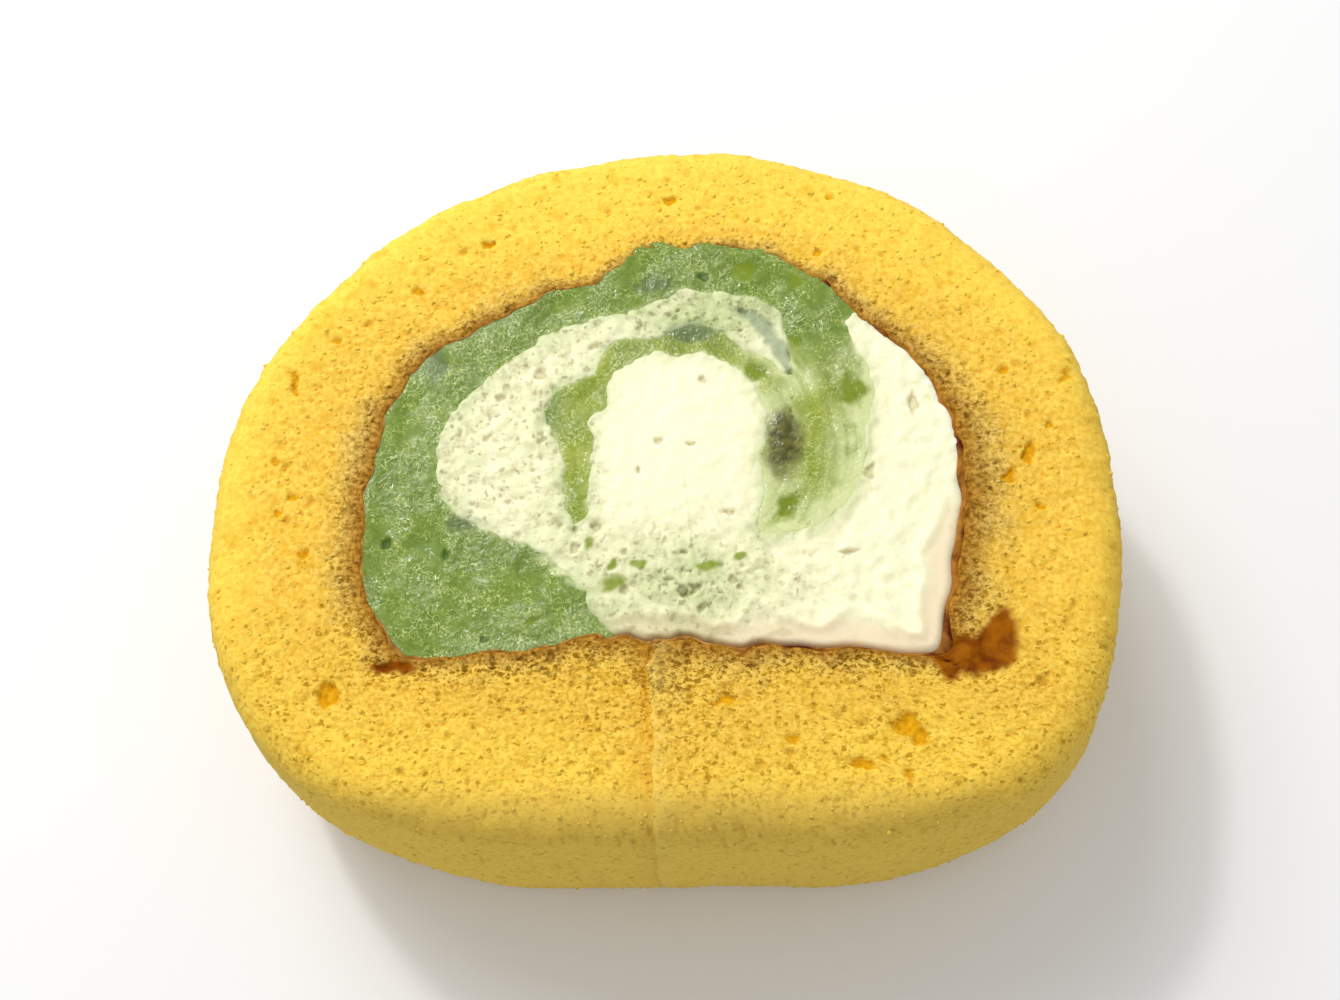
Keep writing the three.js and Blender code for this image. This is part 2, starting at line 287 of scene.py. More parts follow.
# %% [markdown]
# ## The sponge
#
# Sponge cake is a foam that was baked: most of it is soft yellow crumb, with pores of a few tenths of a
# millimetre everywhere and an air hole one or two millimetres wide here and there. A flat face with a
# noise picture on it looks printed, so the pores that are wide enough for the grid are sunk into the
# surface, and only the finest are left to the material.
#
# The surface is one section loop carried round the D: up the inner wall, over the cut, round the soft
# edge, down the bulging side, and back along the lower cut.

# %% Air holes and folded skin
AIR_HOLES = [  # x, y, half-width, half-depth and depth in mm
    (-37.4, 9.6, 0.5, 1.5, 1.0), (-31.8, -23.3, 0.9, 1.2, 1.1), (23.4, -26.6, 1.2, 1.0, 1.2),
    (24.3, -28.0, 0.8, 0.9, 1.0), (19.1, -30.3, 1.2, 0.5, 0.9), (23.5, -31.4, 0.5, 0.5, 0.8),
    (21.3, -29.7, 0.5, 0.4, 0.6), (1.0, 29.9, 0.8, 0.5, 0.9), (-18.1, 25.1, 0.7, 0.5, 0.8),
    (-25.1, 19.9, 0.5, 0.4, 0.7), (16.4, 23.5, 0.7, 0.5, 0.8), (36.6, 0.3, 0.7, 1.1, 1.0),
    (34.6, -2.0, 0.7, 0.8, 0.9), (40.8, 8.8, 0.5, 0.9, 0.9), (-35.1, -8.9, 0.6, 0.6, 0.8),
    (-38.9, 1.1, 0.4, 0.4, 0.6), (-36.7, -2.9, 0.5, 0.4, 0.7), (18.0, 29.9, 0.5, 0.4, 0.7),
    (38.9, 3.6, 0.5, 0.5, 0.7), (6.2, -24.3, 1.0, 0.35, 0.7), (12.6, -28.0, 0.6, 0.5, 0.6),
    (34.9, 9.6, 0.5, 0.5, 0.7), (-38.3, -4.6, 0.45, 0.45, 0.6), (37.6, -5.0, 0.4, 0.5, 0.7),
    (-27.5, 28.0, 0.4, 0.6, 0.6), (27.0, 28.2, 0.5, 0.3, 0.6), (-33.5, 14.4, 0.5, 0.4, 0.6),
]

FOLDED_SKIN = [  # where skin was folded into the crumb: x, y, half-width, half-depth and depth in mm
    (32.3, -18.6, 2.1, 2.0, 0.35), (33.2, -16.6, 1.1, 1.4, 0.2), (30.4, -20.2, 2.6, 1.5, 0.3),
    (28.2, -19.6, 2.2, 1.3, 0.35), (27.6, -20.9, 0.7, 1.6, 0.5), (-25.6, -20.6, 2.6, 0.6, 0.5),
]


# %% Height of the upper cut
NO_SEAM = -99.0  # mm, far to the left of the seam, where its step and its painted shade and light have no effect


def seam_side(x, y, z):
    """Distance in mm to the right of the seam, which wanders by soft noise of y and z."""
    along = np.stack([0 * x, y, z], axis=-1).reshape(-1, 3)
    wander = 0.45 * lumps_at(along, 2.6, 50) + 0.3 * lumps_at(along, 1.0, 51)
    wander += 0.12 * lumps_at(along, 0.4, 52)
    return np.where(y < SEAM_END_Y, x - SEAM_X - 0.3 - wander.reshape(x.shape), NO_SEAM)


def top_height(x, y):
    """Height in mm of the upper cut: a slow swell, hollows at the folds, and a step up at the seam.

    The swell is two products of waves of x and y, and the step fades over 12 mm to the right.
    """
    swell = 0.25 * np.sin(x / 4.3 + 1) * np.cos(y / 5.1) + 0.15 * np.sin(x / 1.9 + y / 2.3)
    right = seam_side(x, y, THICKNESS + 0 * x)
    step = SEAM_STEP * smoothstep(right, -0.12, 0.15) * hump(np.maximum(right, 0), 12)
    pressed = np.max([deep * patch(x, y, *spot) for *spot, deep in FOLDED_SKIN], axis=0)
    return THICKNESS + swell + step - pressed


def air_holes(x, y):
    """Depth in mm of the large holes, each a ragged bowl with a level floor.

    A bowl is a smoothstep of 1.15 less the distance from its middle, counted in its half-widths.
    """
    flat = np.stack([x, y, np.zeros_like(x)], axis=1)
    ragged = warped(flat, 0.9, 0.35, 40)
    depth = np.zeros_like(x)
    for at_x, at_y, half_x, half_y, deep in AIR_HOLES:
        away = np.hypot((ragged[:, 0] - at_x) / half_x, (ragged[:, 1] - at_y) / half_y)
        depth = np.maximum(depth, 0.6 * deep * smoothstep(1.15 - away, 0, 0.35))
    return depth


# %% The section loop
def section_rows():
    """The loop as rows of share, offset, level and drop.

    A row's distance from the ring's middle is inner + share (outer - inner) + offset, and its height is
    level times the upper cut's height, less drop. The rows lie closest where the cut meets the skin.
    """
    # Shares of the height up the inner wall, and the turn round the small lip beside the skin.
    rise = np.linspace(0, 0.97, 4)
    lip = np.linspace(0, np.pi / 2, 3)[1:]

    # Shares of the way across the cut, and the turn round its soft edge.
    near = np.linspace(0, 0.18, 15)[1:]
    top = np.concatenate([near, np.linspace(0.18, 1, 43)[1:]])
    quarter = np.linspace(0, np.pi / 2, 9)[1:]

    # Shares of the height down the side, the turn round the foot, and shares of the way back below.
    wall_top = 1 - TOP_EDGE_ROUND / THICKNESS
    wall_base = BASE_EDGE_ROUND / THICKNESS
    wall = np.linspace(wall_top, wall_base, 24)[1:]
    foot = np.linspace(0, np.pi / 2, 4)[1:]
    under = np.linspace(1, 0, 7)[1:-1]
    swell = WALL_BULGE * np.sin(np.pi * (wall - wall_base) / (wall_top - wall_base))
    pieces = [
        (0 * rise, 0 * rise, rise, 0 * rise),
        (0 * lip, INNER_EDGE_ROUND * (1 - np.cos(lip)), 1 + 0 * lip, INNER_EDGE_ROUND * (1 - np.sin(lip))),
        (top, INNER_EDGE_ROUND * (1 - top) - TOP_EDGE_ROUND * top, 1 + 0 * top, 0 * top),
        (1 + 0 * quarter, TOP_EDGE_ROUND * (np.sin(quarter) - 1), 1 + 0 * quarter,
         TOP_EDGE_ROUND * (1 - np.cos(quarter))),
        (1 + 0 * wall, swell, wall, 0 * wall),
        (1 + 0 * foot, BASE_EDGE_ROUND * (np.cos(foot) - 1), wall_base * (1 - np.sin(foot)), 0 * foot),
        (under, -BASE_EDGE_ROUND * under, 0 * under, 0 * under),
    ]
    return np.concatenate([np.stack(piece) for piece in pieces], axis=1)


def ring_surface(degrees, rows, inner, outer):
    """Grid of points, one line of rows for each angle, from the loop's rows and the two reaches."""
    share, offset, level, drop = rows
    reach = inner[:, None] + share * (outer - inner)[:, None] + offset
    x, y = place_at(RING_MIDDLE, degrees[:, None], reach)
    return np.stack([x, y, level * top_height(x, y) - drop], axis=-1)


def outward(grid):
    """Unit normals of a grid that is closed in both directions, by differences of its neighbours."""
    along = np.roll(grid, -1, axis=0) - np.roll(grid, 1, axis=0)
    across = np.roll(grid, -1, axis=1) - np.roll(grid, 1, axis=1)
    normal = np.cross(across, along)
    return normal / np.maximum(np.linalg.norm(normal, axis=-1, keepdims=True), 1e-9)


# %% Lay the sponge's grid
RING_STEPS = 960
ring_degrees = 270 + 360 * np.arange(RING_STEPS) / RING_STEPS
inner_reach = ring_reach(is_in_filling, ring_degrees) + skin_thickness(ring_degrees)
outer_reach = cake_reach(ring_degrees) - WALL_BULGE
rows = section_rows()
grid = ring_surface(ring_degrees, rows, inner_reach, outer_reach)
normal = outward(grid).reshape(-1, 3)
points = grid.reshape(-1, 3)
print("sponge grid:", grid.shape[0], "by", grid.shape[1], "points")

# %% Where the crumb is tan, coarse or folded, and where its outside is painted with shade
BAKED_FARTHER = [  # degrees round the ring, half-width in degrees, change of the tan zone's reach
    (80, 45, -0.65), (-2, 32, 0.6), (185, 30, 0.25), (276, 13, 0.7),
]
is_open = np.tile(rows[0] > 0, RING_STEPS)  # everything but the inner wall, which the skin covers
is_top = np.tile((rows[2] >= 1) & (rows[3] < 2.5), RING_STEPS)  # the cut and half of its soft edge

# Distance to the skin in mm, made shorter or longer where the tan zone reaches farther or less far.
from_skin = np.hypot(points[:, 0] - RING_MIDDLE[0], points[:, 1] - RING_MIDDLE[1])
from_skin = np.maximum(0, from_skin - inner_reach.repeat(rows.shape[1]))
ring_angle = ring_degrees.repeat(rows.shape[1])
baked_reach = np.ones(len(points))
for at, half, change in BAKED_FARTHER:
    baked_reach += change * hump(degrees_from(ring_angle, at), half)
from_skin = from_skin / baked_reach

# The crumb is coarse beside the skin and on the near side, and folded skin stains it in ragged patches.
front = smoothstep(-10.0 - points[:, 1], 0, 12.0)
coarse = 0.75 * hump(from_skin, 3.5) + 0.55 * front + 0.12 * lumps_at(points, 5.0, 61)
coarse = np.clip(coarse, 0, 1)
on_cut = warped(warped(points * (1, 1, 0), 1.6, 0.4, 62), 0.6, 0.25, 66)
folded = sum(patch(on_cut[:, 0], on_cut[:, 1], *spot) for *spot, _ in FOLDED_SKIN)
folded = smoothstep(folded, 0.15, 0.75) * is_top
in_corner = patch(points[:, 0], points[:, 1], 27.8, -20.4, 1.5, 2.2)
# The creases in the folds are sunk a little, and the material paints them dark as their shade.
crease_in_fold = folded * in_corner * hump(lumps_at(on_cut, 1.4, 74), 0.12)
beside_seam = seam_side(*points.T)

# The outside is painted with shade, from just over the soft edge down, and sooner on the near side.
below_cut = np.tile(np.where(rows[2] >= 1, rows[3], TOP_EDGE_ROUND), RING_STEPS)
side = smoothstep(below_cut, 0.3, TOP_EDGE_ROUND)
side = np.maximum(side, smoothstep(-31.0 - points[:, 1], 0, 4.0) * is_open)
print("mean of coarse:", round(coarse.mean(), 2), "and of folded:", round(folded.mean(), 4))

# %% Sink the pores and make the sponge
torn_points = warped(points, 0.8, 0.3, 60)
wide_pores = pits_at(torn_points, 2.0, (0.25, 0.6), 0.5, 10)
on_wall = np.tile(rows[2] < 1, RING_STEPS)
small_pores = pits_at(torn_points, 0.85, (0.16, 0.36), 0.9, 20) * (1 - 0.8 * on_wall)
holes = 0.8 * air_holes(points[:, 0], points[:, 1]) * is_top

# Relief in mm along the normals: soft crumb outwards, and pores, the seam's groove and creases inwards.
crumb = 0.1 * lumps_at(points, 2.6, 31) + 0.1 * lumps_at(points, 1.2, 32) + 0.1 * lumps_at(points, 0.6, 33)
crease = 0.35 * hump(beside_seam + 0.1, 0.22) * (0.6 + 0.4 * lumps_at(points, 0.9, 53))
sunk = 0.8 * wide_pores + (0.7 + 0.7 * coarse) * small_pores
sunk = sunk * (1 - folded) + crease + 0.4 * crease_in_fold
points = points + normal * (is_open * (crumb - sunk) - holes)[:, None]
points[:, 2] = np.maximum(points[:, 2], 0)

sponge = make_object("sponge_crumb", points, grid_faces(RING_STEPS, rows.shape[1], True, True), {
    "from_skin": from_skin,
    "hole": smoothstep(holes, 0.05, 0.25),
    "pore": smoothstep(np.maximum(wide_pores, small_pores) * is_open, 0.03, 0.25),
    "seam": hump(beside_seam, 1.6) * np.sign(beside_seam),
    "side": side,
    "coarse": coarse,
    "folded": folded,
    "crease": crease_in_fold,
})

# %% [markdown]
# A cut through such a crumb tears as much as it slices, and leaves crumbs of a third of a millimetre
# that still hang on the surface. They catch the light one by one, which no bump on a flat face does.
# Each is a twenty-sided ball, stretched and partly sunk, and all of them are one piece.

# %% Make the crumbs
CRUMB_COUNT = 3600
CRUMB_RADIUS = (0.1, 0.3)
CRUMB_SINK = 0.25  # share of its radius by which a crumb's middle lies under the surface
CORNERS = 12  # of a twenty-sided ball
golden = (1 + np.sqrt(5)) / 2
ball = np.array([(0, a, b * golden) for a in (-1, 1) for b in (-1, 1)], dtype=float)
ball = np.concatenate([np.roll(ball, shift, axis=1) for shift in range(3)])
ball /= np.linalg.norm(ball[0])
joined = np.linalg.norm(ball[:, None] - ball[None], axis=2) < 1.2  # one edge of the ball is 1.05 radii long
ball_faces = [(i, j, k) if np.dot(ball[i], np.cross(ball[j], ball[k])) > 0 else (i, k, j)
              for i in range(CORNERS) for j in range(i + 1, CORNERS) for k in range(j + 1, CORNERS)
              if joined[i, j] and joined[j, k] and joined[i, k]]

chance = np.random.default_rng(21)
is_plain = (holes < 0.05) & (from_skin > 0.5) & (folded < 0.1)
may_bear = np.flatnonzero(is_open & (points[:, 2] > 2) & is_plain)
seats = chance.choice(may_bear, CRUMB_COUNT, replace=False)
radius = CRUMB_RADIUS[0] + (CRUMB_RADIUS[1] - CRUMB_RADIUS[0]) * chance.random(CRUMB_COUNT) ** 2
stretch = chance.uniform(0.6, 1.4, (CRUMB_COUNT, 1, 3))
stretch = stretch * chance.uniform(0.85, 1.15, (CRUMB_COUNT, CORNERS, 1))
shapes = ball[None] * stretch * radius[:, None, None]
spots = points[seats] - CRUMB_SINK * radius[:, None] * normal[seats]
crumb_points = (spots[:, None] + shapes).reshape(-1, 3)
crumb_faces = np.array(ball_faces)[None] + CORNERS * np.arange(CRUMB_COUNT)[:, None, None]
crumbs = make_object("crumbs", crumb_points, crumb_faces.reshape(-1, 3), {
    "from_skin": from_skin[seats].repeat(CORNERS),
    "side": side[seats].repeat(CORNERS),
    "coarse": 0.6 * coarse[seats].repeat(CORNERS),
})

# %% Make the skin
SKIN_STEPS = 1200
SKIN_ROWS = 20
SKIN_OVERLAP = 0.2  # mm that the skin reaches into the sponge


def skin_surface(degrees):
    """Grid of the ribbon: a narrow loop that rises along its inner face and comes down its outer face.

    Its upper edge is rounded by a parabola of the share across, and crumpled by two sizes of soft noise.
    """
    climb = np.concatenate([np.linspace(0.02, 0.99, 6), np.ones(8), np.linspace(0.99, 0.02, 6)])
    share = np.concatenate([np.zeros(6), np.linspace(0, 1, 8), np.ones(6)])
    thick = skin_thickness(degrees)[:, None]
    reach = ring_reach(is_in_filling, degrees)[:, None] + share * (thick + SKIN_OVERLAP)
    x, y = place_at(RING_MIDDLE, degrees[:, None], reach)
    flat = np.stack([x, y, 0 * x], axis=-1).reshape(-1, 3)
    creases = lumps_at(flat, 1.1, 71) + 0.7 * lumps_at(flat, 0.5, 72)
    top = top_height(x, y) - 0.1 - 0.15 * (2 * share - 1) ** 2 + 0.12 * creases.reshape(x.shape)
    return np.stack([x, y, climb * top], axis=-1)


skin_grid = skin_surface(270 + 360 * np.arange(SKIN_STEPS) / SKIN_STEPS)
skin_faces = grid_faces(SKIN_STEPS, SKIN_ROWS, True, True)
wet = smoothstep(skin_grid[..., 0].ravel(), 2.0, 14.0)  # the skin beside the cream is wetter and darker
skin = make_object("baked_skin", skin_grid.reshape(-1, 3), skin_faces, {"wet": wet})

# %% [markdown]
# ## The swirl
#
# Cream and sauce were spread on the sheet and rolled up with it, so at the cut each is a band that
# winds round the middle. The bands' edges are smooth curves through a few measured stations, as a
# distance from the swirl's middle at an angle.
#
# Where both foods meet there must be no crack, so each one dives under the other a little way. The line
# that we see is where the two surfaces cross. At the back the sauce has run a little over the skin.

# %% Edges of the swirl
OUTLINE_STEP = 1.5  # degrees between the points of a traced edge
BEYOND_WALL = 3.0  # mm by which the sauce's outline passes the filling's edge
CENTRE_EDGE = [
    (-50, 11.4), (-28, 9.6), (-12, 8.2), (8, 8.5), (25, 9.4), (50, 10.3), (85, 10), (120, 10.2),
    (138, 9.5), (150, 8.5), (160, 9.3), (178, 8.8), (200, 9.3), (220, 11.7),
]
INNER_BAND_EDGE = [
    (37, 13.3), (60, 12.4), (80, 13.6), (99, 12.7), (116, 13.4), (126, 13), (136, 12), (144, 12.6),
    (154, 14.2), (165, 14), (180, 12), (200, 12.3), (220, 13.9),
]
CRESCENT_EDGE = [
    (37, 14.1), (47, 15.9), (57, 17.9), (72, 17.5), (87, 17.5), (98, 16.2), (116, 16.4), (136, 18),
    (155, 20.4), (173, 23.3), (184, 24.4), (193, 24), (205, 21), (217, 17.8), (226, 17.3), (237, 17.5),
    (245, 18.8), (251, 20.2),
]
RIGHT_EDGE = [
    (-50, 12.9), (-38, 14.8), (-24, 17.4), (-9, 18.5), (2, 18.7), (14, 20.2), (22, 21.2), (30, 20.9),
    (38, 21.8),
]


def sauce_outline():
    """Closed outline of the sauce as points, traced edge by edge.

    It goes round the outside, back along the crescent, along the inner band, round the centre, and out
    along the right edge.
    """
    def trace(start, end, reach_at):
        degrees = np.linspace(start, end, max(2, int(abs(end - start) / OUTLINE_STEP)))
        return np.stack(place_at(SWIRL_MIDDLE, degrees, reach_at(degrees)), axis=1)

    tail, right_tip = RIGHT_EDGE[0][0], RIGHT_EDGE[-1][0]
    crescent_tip, crescent_foot = CRESCENT_EDGE[0][0], CRESCENT_EDGE[-1][0]
    band_end = INNER_BAND_EDGE[-1][0]
    return np.concatenate([
        trace(right_tip, crescent_foot, lambda a: filling_edge(a) + BEYOND_WALL),
        trace(crescent_foot, crescent_tip, lambda a: smooth_through(CRESCENT_EDGE, a)),
        trace(crescent_tip, band_end, lambda a: smooth_through(INNER_BAND_EDGE, a)),
        trace(band_end, tail, lambda a: smooth_through(CENTRE_EDGE, a)),
        trace(tail, right_tip, lambda a: smooth_through(RIGHT_EDGE, a)),
    ])


# %% Distance to an outline
def distance_inside(x, y, outline):
    """Signed distance in mm to a closed outline, above 0 inside it.

    It is the least distance to the outline's straight pieces, and the sign comes from counting how many
    of them a line to the right of the place would cross.
    """
    nearest = np.full(x.shape, np.inf)
    is_inside = np.zeros(x.shape, dtype=bool)
    for (ax, ay), (bx, by) in zip(outline, np.roll(outline, -1, axis=0)):
        length = (bx - ax) ** 2 + (by - ay) ** 2
        if length < 1e-12:
            continue
        t = np.clip(((x - ax) * (bx - ax) + (y - ay) * (by - ay)) / length, 0, 1)
        nearest = np.minimum(nearest, (x - ax - t * (bx - ax)) ** 2 + (y - ay - t * (by - ay)) ** 2)
        if ay != by:
            crosses = ((ay > y) != (by > y)) & (x < ax + (bx - ax) * (y - ay) / (by - ay))
            is_inside ^= crosses
    return np.where(is_inside, 1, -1) * np.sqrt(nearest)


# %% One lattice for both foods
CELL = 0.175  # mm between the lattice's points
LATTICE_X, LATTICE_Y = (-31.5, 31.5), (-21.0, 26.0)  # mm, a little more than the filling
lattice_x, lattice_y = np.meshgrid(np.arange(*LATTICE_X, CELL), np.arange(*LATTICE_Y, CELL))
lattice = np.stack([lattice_x.ravel(), lattice_y.ravel(), np.zeros(lattice_x.size)], axis=1)

from_middle_x, from_middle_y = lattice_x - SWIRL_MIDDLE[0], lattice_y - SWIRL_MIDDLE[1]
swirl_angle = np.degrees(np.arctan2(from_middle_y, from_middle_x))
swirl_reach = np.hypot(from_middle_x, from_middle_y)
wall_reach = filling_edge(swirl_angle)
shrunk = 0.12 * hump(degrees_from(swirl_angle, -12), 22)  # mm that the cream drew back from the skin

# The reach that is left, over its own slope, is nearly the true distance to the filling's edge.
slant = np.hypot(*np.gradient(wall_reach - swirl_reach, CELL))
from_wall = (wall_reach - swirl_reach) / np.clip(slant, 1, 3)

fringe = 0.3 * lumps_at(lattice, 2.4, 81) + 0.22 * lumps_at(lattice, 1.1, 82)
fringe += 0.12 * lumps_at(lattice, 0.5, 83)
in_cream = -distance_inside(lattice_x, lattice_y, sauce_outline()) + fringe.reshape(lattice_x.shape)
print("filling area in square mm:", round((from_wall > 0).sum() * CELL**2),
      "of it cream:", round(((from_wall > 0) & (in_cream > 0)).sum() * CELL**2))

# %% [markdown]
# ## What the two foods do to each other
#
# The foods aren't cleanly parted. At the bottom the cream was stirred into the sauce and is pale green
# and full of bubbles, the crescent is tinted, and on the right the sauce thins out into cream in
# streaks that follow the turn. Each of these is a field over the lattice from 0 to 1.

# %% Spots in the two foods
def noise_over(size, salt, stretch=(1.0, 1.0)):
    """Soft noise over the lattice, stretched along x or y."""
    return lumps_at(lattice * (*stretch, 1.0), size, salt).reshape(lattice_x.shape)


CHIPS = [  # darker bits of fruit: x, y, half-width, half-depth
    (10.0, 10.0, 1.3, 1.0), (19.6, 7.7, 1.6, 1.7), (9.0, 21.4, 1.2, 0.9), (14.2, 20.2, 0.8, 0.8),
    (12.8, -4.6, 1.0, 1.2), (-4.3, -12.5, 1.2, 0.7), (-2.2, -10.7, 0.7, 0.5), (-4.5, -10.5, 0.5, 0.6),
    (5.0, -10.7, 1.3, 0.6), (8.0, -9.8, 0.8, 0.5), (-12.0, -16.2, 0.5, 0.5), (14.0, 13.4, 0.6, 0.5),
    (-7.0, -8.2, 0.5, 0.5), (1.6, 12.9, 1.0, 0.7), (5.6, 13.0, 1.1, 0.7),
]
DROPS = [  # dark round bubbles in the sauce: x, y, half-width, half-depth
    (-27.0, -7.7, 0.7, 0.7), (-20.8, -9.2, 0.5, 0.55), (-16.8, -18.0, 0.5, 0.4), (4.6, 21.0, 0.6, 0.5),
]
GEL = [  # grey-green clear jelly: x, y, half-width, half-depth
    (3.2, 14.5, 3.0, 1.1), (-0.6, 19.8, 2.4, 1.0), (-22.9, 11.6, 1.4, 2.0), (-19.3, -6.1, 1.5, 0.9),
]
GEL_STREAK = [  # a tapering streak of the same jelly: x, y, half-width
    (8.7, 17.2, 1.5), (11.0, 14.8, 1.2), (12.5, 12.2, 0.8), (13.4, 9.6, 0.4),
]
LUMP = (12.4, 2.2, 1.9, 3.7)  # dark lump of fruit: x, y, half-width, half-depth
CUPS = [  # single larger bubbles in the cream: x, y, half-width, half-depth
    (0.0, 2.5, 0.5, 0.4), (3.2, 2.0, 0.5, 0.3), (-2.0, -0.7, 0.4, 0.4), (4.4, 9.1, 0.5, 0.3),
    (6.9, -5.0, 0.8, 0.4), (25.7, 6.0, 0.5, 1.4), (11.9, -17.8, 1.5, 0.4), (-12.0, 10.3, 0.8, 0.8),
    (-8.3, -8.7, 0.5, 0.5), (-8.3, -6.9, 0.4, 0.4), (2.3, -13.2, 0.5, 0.5), (18.5, -9.5, 1.2, 0.3),
    (21.0, -1.0, 0.4, 0.9), (1.2, -12.0, 0.6, 0.3), (3.0, -13.6, 0.5, 0.3), (-6.3, -6.6, 0.6, 0.4),
]
TONGUE = [  # cream drawn out thin: x, y, half-width, half-depth
    (-7.3, -12.2, 1.3, 0.6), (-9.3, -11.0, 1.4, 0.7), (-10.9, -9.7, 1.2, 0.8),
]

# %% Where the spots lie on the lattice
wobble_x = lattice_x + 0.3 * noise_over(1.3, 91) + 0.25 * noise_over(0.6, 92)
wobble_y = lattice_y + 0.3 * noise_over(1.3, 93) + 0.25 * noise_over(0.6, 94)


def spots_over(spots, low, high):
    """1 inside any of the ragged round spots and 0 outside, with the edge between two values of patch."""
    return np.max([smoothstep(patch(wobble_x, wobble_y, *spot), low, high) for spot in spots], axis=0)


chips = spots_over(CHIPS, 0.15, 0.7)
gel = spots_over(GEL, 0.1, 0.8)

# The streak's middle and half-width at each y, and almost no width past its ends.
streak_x, streak_y, streak_half = np.array(GEL_STREAK).T
off_streak = wobble_x - np.interp(wobble_y, streak_y[::-1], streak_x[::-1])
half_there = np.interp(wobble_y, streak_y[::-1], streak_half[::-1], left=0.01, right=0.01)
gel = np.maximum(gel, smoothstep(hump(off_streak / half_there, 1.0), 0.15, 0.8))
drops = spots_over(DROPS, 0.25, 0.6)
lump = spots_over([LUMP], 0.1, 0.75)
cups = spots_over(CUPS, 0.25, 0.6)
tongue = spots_over(TONGUE, 0.1, 0.7)
print("share of the lattice in chips:", round(chips.mean(), 3), "and in jelly:", round(gel.mean(), 3))

# %% Streaks, froth and tint
# Streaks follow the turn of the swirl: noise that is long along the angle and short across it.
turn_and_reach = np.radians(swirl_angle) * 3.0, swirl_reach * 2.2, 0 * swirl_reach
along_turn = np.stack([part.ravel() for part in turn_and_reach], axis=1)
streaks = lumps_at(along_turn, 1.0, 95).reshape(lattice_x.shape)
streaks += 0.5 * lumps_at(along_turn * (1.6, 2.2, 1.0), 1.0, 96).reshape(lattice_x.shape)

# The right ring is the sauce between the middle and the outer cream, and the inner band is its other end.
# Stirred froth lies at the lower middle and at the upper right. The crescent is the tinted cream at the
# left and the top, and the centre is the clean cream in the middle.
right_ring = smoothstep(lattice_x, 6, 12) * smoothstep(lattice_y, -12, -6)
right_ring *= smoothstep(15 - lattice_y, 0, 8)
inner_band = smoothstep(14.5 - swirl_reach, 0, 2) * smoothstep(lattice_x, -12, -9)
ring = np.clip(right_ring + inner_band, 0, 1)
stirred = patch(lattice_x, lattice_y, 0.8, -12.4, 10.5, 5.2)
stirred += patch(lattice_x, lattice_y, 6.5, 16.0, 7.0, 3.0)
stirred = np.clip(stirred * (1.15 + 0.5 * noise_over(2.6, 97) + 0.4 * noise_over(1.0, 98)), 0, 1)
crescent = smoothstep(-4.0 - lattice_x, 0, 3) * smoothstep(lattice_y, -10, -5)
crescent = np.clip(crescent + patch(lattice_x, lattice_y, -1.0, 17.0, 9.0, 2.4), 0, 1)
centre = hump(np.hypot(lattice_x - 2.0, (lattice_y - 2.5) * 0.95), 8.5)

# How much sauce is in the cream, and how much cream is in the sauce.
in_the_cream = 0.19 * crescent * (1 + 0.6 * noise_over(1.4, 99)) + 0.55 * stirred
in_the_cream *= 1 - 0.8 * centre
near_border = hump(np.minimum(in_cream, 6), 1.3)
in_the_cream += 0.24 * near_border * (0.5 + right_ring) * (1 + 0.5 * streaks)
in_the_cream = np.clip(in_the_cream + 0.15 * hump(in_cream, 0.8), 0, 1)
thin_ring = right_ring * smoothstep(in_cream, -5.5, -0.5)
thin_ring *= 0.78 + 0.28 * streaks + 0.38 * noise_over(1.2, 101)
pale_edge = hump(in_cream, 0.3 + 0.4 * right_ring) * (1 + noise_over(0.8, 100))
in_the_sauce = thin_ring + (0.3 + 0.5 * right_ring) * pale_edge + 0.6 * tongue
in_the_sauce = np.clip(in_the_sauce, 0, 0.9)

# Where the fine cups of the froth show.
froth = np.clip(0.8 * crescent * (1 + 0.5 * noise_over(1.4, 102)) + 1.2 * stirred + 0.15, 0, 1)
froth *= 1 - 0.7 * centre
print("mean share of sauce in the cream:", round(in_the_cream.mean(), 2), "cream in the sauce:",
      round(in_the_sauce.mean(), 2))

# %% [markdown]
# ## Height of the cream and of the sauce
#
# Whipped cream that a knife has gone through is dull and full of burst bubbles, but its own outside,
# which shows at the lower right, is smooth and rolls down in folds. The sauce is a wet jelly that sits
# a little lower, and its small bumps are what makes it sparkle. In the ring round the middle it is
# level with the cream, and at the edge it is drawn up to the skin, and at the back a little over it.

# %% Height of the cream
CREAM_LEVEL = THICKNESS - 0.1

# Burst bubbles of two sizes, and knife marks that run from front to back.
torn_lattice = warped(lattice, 0.6, 0.3, 110)
wide_bubbles = pits_at(torn_lattice, 1.4, (0.2, 0.6), 0.7, 111)
small_bubbles = pits_at(torn_lattice, 0.8, (0.14, 0.26), 0.7, 121)
bubbles = np.maximum(wide_bubbles, small_bubbles).reshape(lattice_x.shape)
bubble_share = np.clip(0.15 + 0.4 * crescent + 1.1 * stirred - 0.15 * centre, 0, 1.3)
knife_marks = 0.1 * noise_over(2.2, 131, (1.0, 0.35)) + 0.16 * noise_over(0.9, 132) * (1 - 0.6 * centre)

# The cream's own outside rolls down at the edge, with two low folds behind it, and no knife cut it.
is_rolled = smoothstep(60 - np.abs(degrees_from(swirl_angle, -63)), 0, 25)
edge_of_roll = from_wall - shrunk
rolled = is_rolled * np.maximum(0, 1 - edge_of_roll / 0.8) ** 2
fold = is_rolled * hump(edge_of_roll - 2.8 - 1.2 * noise_over(5.0, 133), 0.7) * 0.38
fold += is_rolled * hump(edge_of_roll - 5.2 - 1.5 * noise_over(6.0, 134), 0.6) * 0.2
uncut = is_rolled * smoothstep(3.2 - edge_of_roll, 0, 2.0)

